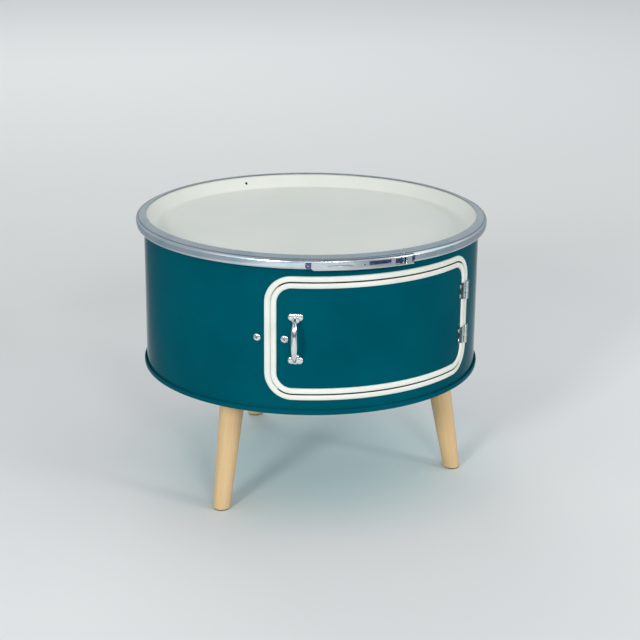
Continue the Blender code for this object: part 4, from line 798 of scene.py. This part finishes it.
def turned(shape, section, place, steps=32):
    """Spins a section of (radius, along) points round its own axis and puts it in place."""
    part = bmesh.new()
    chain(part, [(r, 0, along) for r, along in section])
    bmesh.ops.spin(part, geom=part.verts[:] + part.edges[:], axis=(0, 0, 1), angle=math.tau,
                   steps=steps, use_merge=True)
    bmesh.ops.remove_doubles(part, verts=part.verts, dist=0.000005)
    bmesh.ops.dissolve_degenerate(part, dist=0.000005, edges=part.edges[:])
    bmesh.ops.transform(part, matrix=place, verts=part.verts)
    bmesh.ops.recalc_face_normals(part, faces=part.faces)
    joined = mesh_of("turned", part)
    shape.from_mesh(joined)
    bpy.data.meshes.remove(joined)
    return shape


edge_spot = standing(DOOR_WIDTH / 2, DOOR_MIDDLE, WALL).translation
print("the middle of the hinge side is at", [round(v, 3) for v in edge_spot])

# %% Heads with a cross recess
def headed(name, place, section, top, span, look, body, node_name):
    """A turned part whose head, with its top at a height, gets a cross recess of this span."""
    made = piece(name, turned(bmesh.new(), section, place), look, body, [node_name])
    for turn in (0.4, 0.4 + math.pi / 2):
        blade = bmesh.new()
        stand = place @ Matrix.Translation((0, 0, top)) @ Matrix.Rotation(turn, 4, "Z")
        size = Matrix.Diagonal((span, span / 3.4, span / 1.8, 1))
        bmesh.ops.create_cube(blade, size=1.0, matrix=stand @ size)
        carve(made, blade)
    return made


def button_head(radius, height, shank, tail, nut=None):
    """Section of a button head on its shank, with a nut run up at the tail if asked."""
    dome = [(radius * math.sin(a), height * (0.32 + 0.68 * math.cos(a)))
            for a in (0.0, 0.25, 0.5, 0.75, 1.0, 1.25, 1.45)]
    under = [(radius, height * 0.12), (radius * 0.96, 0.0), (shank, 0.0)]
    if nut:
        start, across, end = nut
        under += [(shank, -start), (across, -start), (across, -end), (shank, -end)]
    return dome + under + [(shank, -tail), (0.0, -tail)]


BOLT_LEVEL, BOLT_DOME, BOLT_RECESS = DOOR_MIDDLE - 0.001, 0.0034, 0.0044
SCREW_DOME, SCREW_RECESS = 0.0014, 0.003
bolt_section = button_head(0.00625, BOLT_DOME, 0.0024, 0.0075)
for where, x, body in (("wall", -0.2085, "barrel"), ("door", -0.164, "door")):
    bolt = headed(f"{where}_button_bolt", standing(x, BOLT_LEVEL, WALL + CLEAR), bolt_section,
                  BOLT_DOME, BOLT_RECESS, chrome, body, f"{where}_bolt")
    # painted shade: the faces in and round each bolt's cross recess are darkened nickel
    second_finish(bolt, nickel_painted_shade, lambda reach, degrees, height:
                  WALL + 0.0016 < reach < WALL + 0.0033 and
                  math.hypot(math.radians(degrees) * WALL - x, height - BOLT_LEVEL) < 0.0024)
screw_seat = WALL + 2 * CLEAR + LEAF
screw_section = button_head(0.0029, SCREW_DOME, 0.0015, 0.0058, nut=(0.0036, 0.0028, 0.0058))
screw_levels = [level + spread for level in hinge_levels.values()
                for spread in (LOBE_SPREAD, -LOBE_SPREAD)]
for number, level in enumerate(screw_levels, 1):
    for side, kind, body in SIDES:
        spot = standing(DOOR_WIDTH / 2 + side * LOBE_REACH, level, screw_seat)
        headed(f"{kind}_leaf_screw_{number}", spot, screw_section, SCREW_DOME, SCREW_RECESS,
               nickel, body, f"hinge_{kind}_screw_{number}")

# %% [markdown]
# ## The bow handle
# The handle is a small plated casting: a bow that swells from a narrow neck to a broad middle, and
# two feet of soft round lobes that fan away from the bow. The bow is a chain of circles, flattened
# and turned to follow the arch, then bridged. The lobes are low turned domes that run together.

# %% Cast the handle
HANDLE_X, HANDLE_SPAN, HANDLE_STAND, BOW_STEPS = -0.1465, 0.0681, 0.023, 28
handle_base = WALL + CLEAR
handle_middle = standing(HANDLE_X, DOOR_MIDDLE, handle_base)
handle_shape = bmesh.new()
circles = []
for i in range(BOW_STEPS + 1):
    a = math.pi * (0.04 + 0.92 * i / BOW_STEPS)
    centre = Vector((0, -math.cos(a) * HANDLE_SPAN / 2, 0.002 + math.sin(a) ** 0.6 * HANDLE_STAND))
    slope = Vector((0, math.sin(a) * HANDLE_SPAN / 2, math.cos(a) * HANDLE_STAND * 0.8))
    slope.normalize()
    deep = slope.cross(Vector((1, 0, 0)))
    width = 0.0049 * (0.4 + 0.6 * math.sin(a) ** 1.2)
    tilt = Matrix((Vector((1, 0, 0)) * width, deep * 0.0027, slope)).transposed().to_4x4()
    made = bmesh.ops.create_circle(handle_shape, segments=20, radius=1.0,
                                   matrix=handle_middle @ Matrix.Translation(centre) @ tilt)
    circles.append(list({e for v in made["verts"] for e in v.link_edges}))
for one, two in zip(circles, circles[1:]):
    bmesh.ops.bridge_loops(handle_shape, edges=one + two)
bmesh.ops.holes_fill(handle_shape, edges=circles[0] + circles[-1], sides=0)
lobes = ((0.0062, 0.0018, 0.0063, 0.0030), (-0.0062, 0.0018, 0.0063, 0.0030),
         (0.0, 0.0032, 0.0054, 0.0032), (0.0, -0.0022, 0.0070, 0.0036))
for flip in (1, -1):
    foot = standing(HANDLE_X, DOOR_MIDDLE + flip * HANDLE_SPAN / 2, handle_base)
    for x, y, radius, height in lobes:
        dome = [(radius * math.sin(a), height * math.cos(a) ** 0.7)
                for a in (0.0, 0.3, 0.6, 0.85, 1.1, 1.3, 1.45)]
        dome += [(radius, 0.0004), (radius, 0.0), (0.0, 0.0)]
        turned(handle_shape, dome, foot @ Matrix.Translation((x, flip * y, 0)), 28)
piece("bow_handle", handle_shape, chrome, "door", ["door_handle"], merge=0.000001,
      sharp=50)

# %% [markdown]
# ## The ring's latch
# Three pressed straps and a lever close the ring. A strap is welded on each of its ends and rolled
# round a pin. The third, the tension link, hangs on the lever and hooks over the left pin. The
# lever is a channel, folded from one curved blank with two windows, a sight hole, a shallow pressed
# grip and a narrow tab at its tip, which has a hole too.

# %% Straps, link and hook
LATCH_PIN, LATCH_EYE, LATCH_MIDDLE, LINK_TALL = 0.30345, 0.0024, 0.4533, 0.0076
PIN_ROUND, HOOK_PLAY, HOOK_CHEEK, WELD_GAP, CLIPPED = 0.00135, 0.0006, 0.0018, 0.0004, 0.0014
pin_turn = {name: math.radians(a) for name, a in (("lever", 7), ("link", 3), ("hook", -10))}


def plan_arc(distance, start, end, steps):
    turns = [start + (end - start) * i / steps for i in range(steps + 1)]
    return [plan(distance, math.radians(turn)) for turn in turns]


def strap(name, line, outline, body, node_name, look=bright_zinc):
    """A strap stood on edge and bent along a plan line. outline gives (along, height) points."""
    strap_rail = rail(line)
    length = strap_rail[-1][0]
    shape = blank([(x * length, LATCH_MIDDLE + z) for x, z in outline],
                  columns=scores(strap_rail), thickness=LATCH_SHEET)
    return piece(name, bend_upright(shape, strap_rail), look, body, [node_name], sharp=40)


def clipped_end(half):
    """Upper half of the outline of a strap whose far corners are clipped."""
    return [(1, half), (0.03, half), (0, half - CLIPPED)]


link_half = LINK_TALL / 2
seat = RING + WELD_GAP + LATCH_SHEET / 2
rolled_line = plan_arc(seat, 17, 7, 8)[:-1] + eye(pin_turn["lever"], LATCH_PIN, LATCH_EYE,
                                                  -math.pi / 2, -FULL_ROLL)
right_strap = strap("ring_end_strap_right", rolled_line, both_sides(clipped_end(link_half)),
                    "barrel", "lever_bracket")
# painted shade: the strap's rolled eye is dark violet zinc
second_finish(right_strap, zinc_painted_violet_shade, lambda reach, degrees, height: degrees < 7.7)
room = link_half + CLEAR
hook_half = room + HOOK_CHEEK
notch_line = plan_arc(seat, -19, -10, 8)[:-1] + eye(pin_turn["hook"], LATCH_PIN, LATCH_EYE,
                                                    -math.pi / 2, FULL_ROLL)
notch_rail = rail(notch_line)
notch = (notch_rail[8][0] + HOOK_PLAY) / notch_rail[-1][0]
strap("ring_end_strap_left", notch_line,
      both_sides([(notch, room), (1, room), *clipped_end(hook_half)]), "barrel", "hook_bracket")
hook_round = PIN_ROUND + HOOK_PLAY + LATCH_SHEET / 2
link_line = (
    eye(pin_turn["link"], LATCH_PIN, LATCH_EYE, math.pi / 2 - FULL_ROLL, FULL_ROLL)
    + plan_arc(LATCH_PIN + LATCH_EYE, 3, -10, 10)[1:-1]
    + eye(pin_turn["hook"], LATCH_PIN, hook_round, math.pi / 2, math.radians(100), 8,
          hook_round - LATCH_EYE)
)
# painted shade: the whole tension link is dark violet zinc, so the lever's windows read dark
strap("tension_link_strap", link_line, both_sides([(1, link_half), (0, link_half)]), "link",
      "tension_link", zinc_painted_violet_shade)

# %% Fold the lever
WEB = LATCH_PIN + LATCH_EYE + LATCH_SHEET + CLEAR
LEVER_FOLD, LEVER_HALF, LEVER_DEEP, TAB_ROUND = 0.0013, 0.008, 0.0022, 0.0045
GRIP_DROP, GRIP_DEPTH = 0.0016, 0.0005
lever_half = LEVER_HALF - LATCH_SHEET / 2
lever_rail = rail(
    [(LATCH_PIN - LEVER_DEEP, lever_half), (WEB - LEVER_FOLD, lever_half)]
    + arc((WEB - LEVER_FOLD, lever_half - LEVER_FOLD), LEVER_FOLD, math.pi / 2, -math.pi / 2, 5)[1:]
    + arc((WEB - LEVER_FOLD, LEVER_FOLD - lever_half), LEVER_FOLD, 0, -math.pi / 2, 5)
    + [(LATCH_PIN - LEVER_DEEP, -lever_half)]
)
ear, length = lever_rail[1][0], lever_rail[-1][0]
centre = length / 2
web_half = centre - lever_rail[6][0]


def at(degrees):
    return math.radians(degrees) * LATCH_PIN


upper_half = [
    (at(-24.4), centre + TAB_ROUND), (at(-24.2), centre + web_half),
    (at(-23.4), centre + web_half + 0.002), (at(-20.5), length), (at(7.15), length),
    (at(7.4), length - 0.002), (at(7.4), length - ear), (at(6.25), centre + web_half),
]
tip_round = arc((at(-26.3) + TAB_ROUND, centre), TAB_ROUND, -math.pi / 2, -math.pi, 10)
lever_outline = tip_round + both_sides(upper_half, centre)
window = rounded(at(6.9), 0.0062, 0.0012, (at(-4.1), centre - 0.0018), 4)
sight = arc((at(-8.9), centre), 0.0012, 0, math.tau, 12)[:-1]
tab_hole = arc((at(-26.3) + TAB_ROUND, centre), 0.0011, 0, math.tau, 16)[:-1]
pin_window = rounded(at(4.1), 0.0096, 0.0012, (at(2.75), centre), 4)
grip_middle = centre - GRIP_DROP
grip_steps = (-0.0036, -0.0028, -0.002, -0.001, 0, 0.001, 0.002, 0.0028, 0.0036)
grip_rows = [grip_middle + step for step in grip_steps]
lever_shape = blank(
    lever_outline, [window, sight, tab_hole, pin_window],
    columns=[at(-26 + 0.5 * i) for i in range(66)],
    rows=scores(lever_rail) + grip_rows, thickness=LATCH_SHEET,
)


def soft_step(value, low, high):
    share = min(max((value - low) / (high - low), 0.0), 1.0)
    return share * share * (3 - 2 * share)


def fold_lever(along, out, height):
    degrees = math.degrees(along / LATCH_PIN)
    pressed = soft_step(degrees, -19.9, -18.9) * (1 - soft_step(degrees, -13.1, -12.1))
    pressed *= 1 - soft_step(abs(height - grip_middle), 0.0015, 0.0028)
    radius, level = on_rail(lever_rail, height, out)
    return cylinder(radius - pressed * GRIP_DEPTH, along / LATCH_PIN, LATCH_MIDDLE + level)


lever = piece("latch_lever_channel", bend(lever_shape, fold_lever), bright_zinc, "lever",
              ["clamp_lever"], sharp=40)
grip_radius = WEB + LATCH_SHEET / 2 - 0.00035


def in_a_fold(reach, degrees, height):
    """The tab, the pressed grip, and the root of the upper side, which get dark violet painted
    shade.
    """
    pressed = -19.6 < degrees < -12.4 and reach < grip_radius
    grip = pressed and abs(height - LATCH_MIDDLE + GRIP_DROP) < 0.0026
    root = height > LATCH_MIDDLE + 0.0056 and reach < LATCH_PIN + 0.0022
    return degrees < -24.5 or grip or root


second_finish(lever, zinc_painted_violet_shade, in_a_fold)

# %% [markdown]
# ## Legs
# Each leg is turned to a long taper, screwed on at a slant, and then sawn level at the foot, so
# its lower face is a slightly stretched circle. A spun taper is cut by a level plane, a pad's
# height above the floor, and the new edge is broken with a small bevel. Each point then stores
# where it lay in the upright leg, moved on for every leg, so that no two share their grain.

# %% Turn the legs
LEG_FOOT_OUT, LEG_LEAN = 0.255, math.radians(9.9)
LEG_LENGTH, LEG_THIN, LEG_THICK, LEG_TOP_ROUND = 0.2112, 0.0144, 0.0216, 0.0015
PAD_TALL, FOOT_EDGE = 0.0022, 0.0016
LEGS = {"left": -60, "right": 60, "back": 180}
next_blank = Vector((0.013, -0.021, 0.4))
lean = Matrix.Translation((0, -LEG_FOOT_OUT, 0)) @ Matrix.Rotation(-LEG_LEAN, 4, "X")
for count, (name, degrees) in enumerate(LEGS.items()):
    leg_shape = bmesh.new()
    spare = LEG_THIN * 2
    grow = (LEG_THICK - LEG_THIN) / LEG_LENGTH
    section = [(0.0, LEG_LENGTH), (LEG_THICK - LEG_TOP_ROUND, LEG_LENGTH),
               (LEG_THICK, LEG_LENGTH - LEG_TOP_ROUND)]
    section += [(LEG_THIN + grow * z, z) for z in (0.16, 0.12, 0.08, 0.04, 0.0)]
    section += [(LEG_THIN - grow * spare, -spare), (0.0, -spare)]
    spin_in = Matrix.Rotation(math.radians(degrees), 4, "Z") @ lean
    turned(leg_shape, section, spin_in, 72)
    cut = slice_at(leg_shape, (0, 0, PAD_TALL), (0, 0, 1), dist=0.0, clear_inner=True)
    sawn = [e for e in cut["geom_cut"] if isinstance(e, bmesh.types.BMEdge)]
    bmesh.ops.holes_fill(leg_shape, edges=sawn, sides=0)
    foot_rim = [e for e in leg_shape.edges if all(abs(v.co.z - PAD_TALL) < 1e-5 for v in e.verts)]
    bmesh.ops.bevel(leg_shape, geom=foot_rim, offset=FOOT_EDGE, segments=3, profile=0.5,
                    affect="EDGES")
    leg = piece(f"turned_leg_{name}", leg_shape, beech, "barrel", [f"leg_{name}"])
    stored = leg.data.attributes.new("grain", "FLOAT_VECTOR", "POINT")
    untilt = spin_in.inverted()
    for vert in leg.data.vertices:
        stored.data[vert.index].vector = untilt @ vert.co + next_blank * count

# %% [markdown]
# ## The solids that stay
# The gasket, the plates under the bottom, pins, nuts, studs and the catch are right as they were
# packed. They keep their solids and only get their finish.

# %% Finish the solids that stay
finishes = {
    bright_zinc: ["catch_bracket", "keeper_plate"] + [f"leg_plate_{name}" for name in LEGS],
    nickel: ["hinge_pin_upper", "hinge_pin_lower"],
    plain_steel_and_edge_shade: ["lever_pin", "link_pin", "hook_pin", "wall_nut", "door_nut", "handle_screw_upper",
                  "handle_screw_lower"] + [f"leg_stud_{name}" for name in LEGS],
    rubber: ["lid_gasket"],
    ferrite: ["catch_magnet"],
    felt: [f"leg_glide_{name}" for name in LEGS],
}
for look, names in finishes.items():
    for name in names:
        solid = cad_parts[name]
        solid.data.materials.clear()
        solid.data.materials.append(look)
    print(look.name, "on", len(names), "solids")

# %% [markdown]
# ## Floor and light
# A large pale sheet stands for the studio floor, far wider than the picture, so no horizon shows.
# Three soft lamps, from the left, the front and the right, give the legs their faint shadows, and
# a wide one under the ceiling lights the paper, without a glare of its own in the metal. The world
# is a pale room with a dim skirting, a duller far side and an unlit part of the ceiling over the
# camera: that contrast is what draws the lines in the polished metal.

# %% Lay the paper
floor_shape = bmesh.new()
bmesh.ops.create_circle(floor_shape, cap_ends=True, segments=96, radius=60)
floor = placed("floor", mesh_of("floor", floor_shape))
paper, tree = new_material("pale_paper_floor")
floor_place = node(tree, "TexCoord").outputs["Object"]
floor_axes = node(tree, "SeparateXYZ", {"Vector": floor_place})
depth_share = node(tree, "MapRange", {
    "Value": floor_axes.outputs["Y"], "From Min": -1.5, "From Max": 6.5,
})
# painted light and shade: the paper is darker at the front, lighter round the barrel, darker again
# behind it and lightest far back
paper_tone = colours(node(tree, "ValToRGB", {"Fac": depth_share}),
                     (0.0, "#D3D3D2"), (0.14, "#E1E1E0"), (0.22, "#E3E3E2"), (0.32, "#D5D5D3"),
                     (0.75, "#EDEDEB"))
# painted light: the paper turns lighter towards the right
lighter_right_painted_light = node(tree, "MapRange", {
    "Value": floor_axes.outputs["X"], "From Min": -0.9, "From Max": 3.0, "To Max": 0.45,
})
# painted shade: a teal-tinted darker patch on the paper round the barrel's foot
painted_shade_reach = node(tree, "VectorMath", {0: floor_place, 1: (0.03, 0.02, 0)}, operation="DISTANCE")
painted_teal_shade = node(tree, "MapRange", {
    "Value": painted_shade_reach, "From Min": 0.08, "From Max": 0.42,
    "To Min": 1.0, "To Max": 0.0,
}, interpolation_type="SMOOTHSTEP")
# Only in mirrored rays does the floor turn darker off to the sides: painted reflection, which draws
# dark lines in the polished metal.
across = node(tree, "VectorMath", {0: floor_place, 1: (0.907, -0.421, 0)}, operation="DOT_PRODUCT")
off_roll = node(tree, "Math", {0: across}, operation="ABSOLUTE")
dark_reflection_share = node(tree, "MapRange", {
    "Value": off_roll, "From Min": 0.45, "From Max": 1.1,
}, interpolation_type="SMOOTHSTEP")
mirrored = node(tree, "LightPath").outputs["Is Glossy Ray"]
painted_dark_reflection = node(tree, "Math", {0: dark_reflection_share, 1: mirrored}, operation="MULTIPLY")
for share, colour in ((lighter_right_painted_light, "#F8F8F7"), (painted_teal_shade, "#C9DFE0"), (painted_dark_reflection, "#969A9D")):
    paper_tone = node(tree, "Mix", {0: share, 6: paper_tone, 7: linear(colour)}, data_type="RGBA")
shader = node(tree, "BsdfPrincipled", {
    "Base Color": paper_tone, "Roughness": 0.6, "Specular IOR Level": 0.3,
})
node(tree, "OutputMaterial", {"Surface": shader})
floor.data.materials.append(paper)
print("floor:", paper.name)

# %% Light the studio
world = bpy.data.worlds.new("studio")
bpy.context.scene.world = world
world.use_nodes = True
sky = world.node_tree
sky.nodes.clear()
look_way = node(sky, "TexCoord").outputs["Generated"]
level = node(sky, "SeparateXYZ", {"Vector": look_way}).outputs["Z"]
walls = node(sky, "ValToRGB", {"Fac": level})
studio = colours(walls, (0.0, "#555A60"), (0.14, "#8A9096"), (0.3, "#EEF1F2"), (0.7, "#F2F4F5"),
                 (1.0, "#D8DBDE"))
to_ceiling = node(sky, "VectorMath", {0: look_way, 1: (-0.2, -0.44, 0.87)}, operation="DOT_PRODUCT")
unlit = node(sky, "MapRange", {
    "Value": to_ceiling, "From Min": 0.72, "From Max": 0.95, "To Max": 0.8,
}, interpolation_type="SMOOTHSTEP")
depth = node(sky, "SeparateXYZ", {"Vector": look_way}).outputs["Y"]
behind = node(sky, "MapRange", {"Value": depth, "From Min": -0.2, "From Max": 0.35},
              interpolation_type="SMOOTHSTEP")
for share, colour in ((unlit, "#4C5258"), (behind, "#A0A7AC")):
    studio = node(sky, "Mix", {0: share, 6: studio, 7: linear(colour)}, data_type="RGBA")
glow = node(sky, "Background", {"Color": studio, "Strength": 1.25})
node(sky, "OutputWorld", {"Surface": glow})


def soft_lamp(name, position, aim, size, power):
    """A square soft lamp that looks at a point."""
    lamp = bpy.data.lights.new(name, "AREA")
    lamp.shape = "SQUARE"
    lamp.size = size
    lamp.energy = power
    made = placed(name, lamp)
    way = Vector(position) - Vector(aim)
    made.matrix_world = Matrix.LocRotScale(Vector(position), way.to_track_quat("Z", "Y"), None)
    return made


LAMP_AIM, LAMP_SIZE = (0, 0, 0.2), 1.1
for where, position, power in (("left", (-4.6, -3.7, 2.6), 150), ("middle", (-1.1, -5.6, 2.9), 80),
                               ("right", (3.4, -4.7, 2.5), 65)):
    soft_lamp(f"lamp_{where}", position, LAMP_AIM, LAMP_SIZE, power)
ceiling = soft_lamp("lamp_ceiling", (0.6, 4.6, 4.2), (0, 1.6, 0), 3.0, 60)
ceiling.visible_glossy = False
bpy.context.scene.view_settings.view_transform = "Standard"
print("a studio world and four lamps")
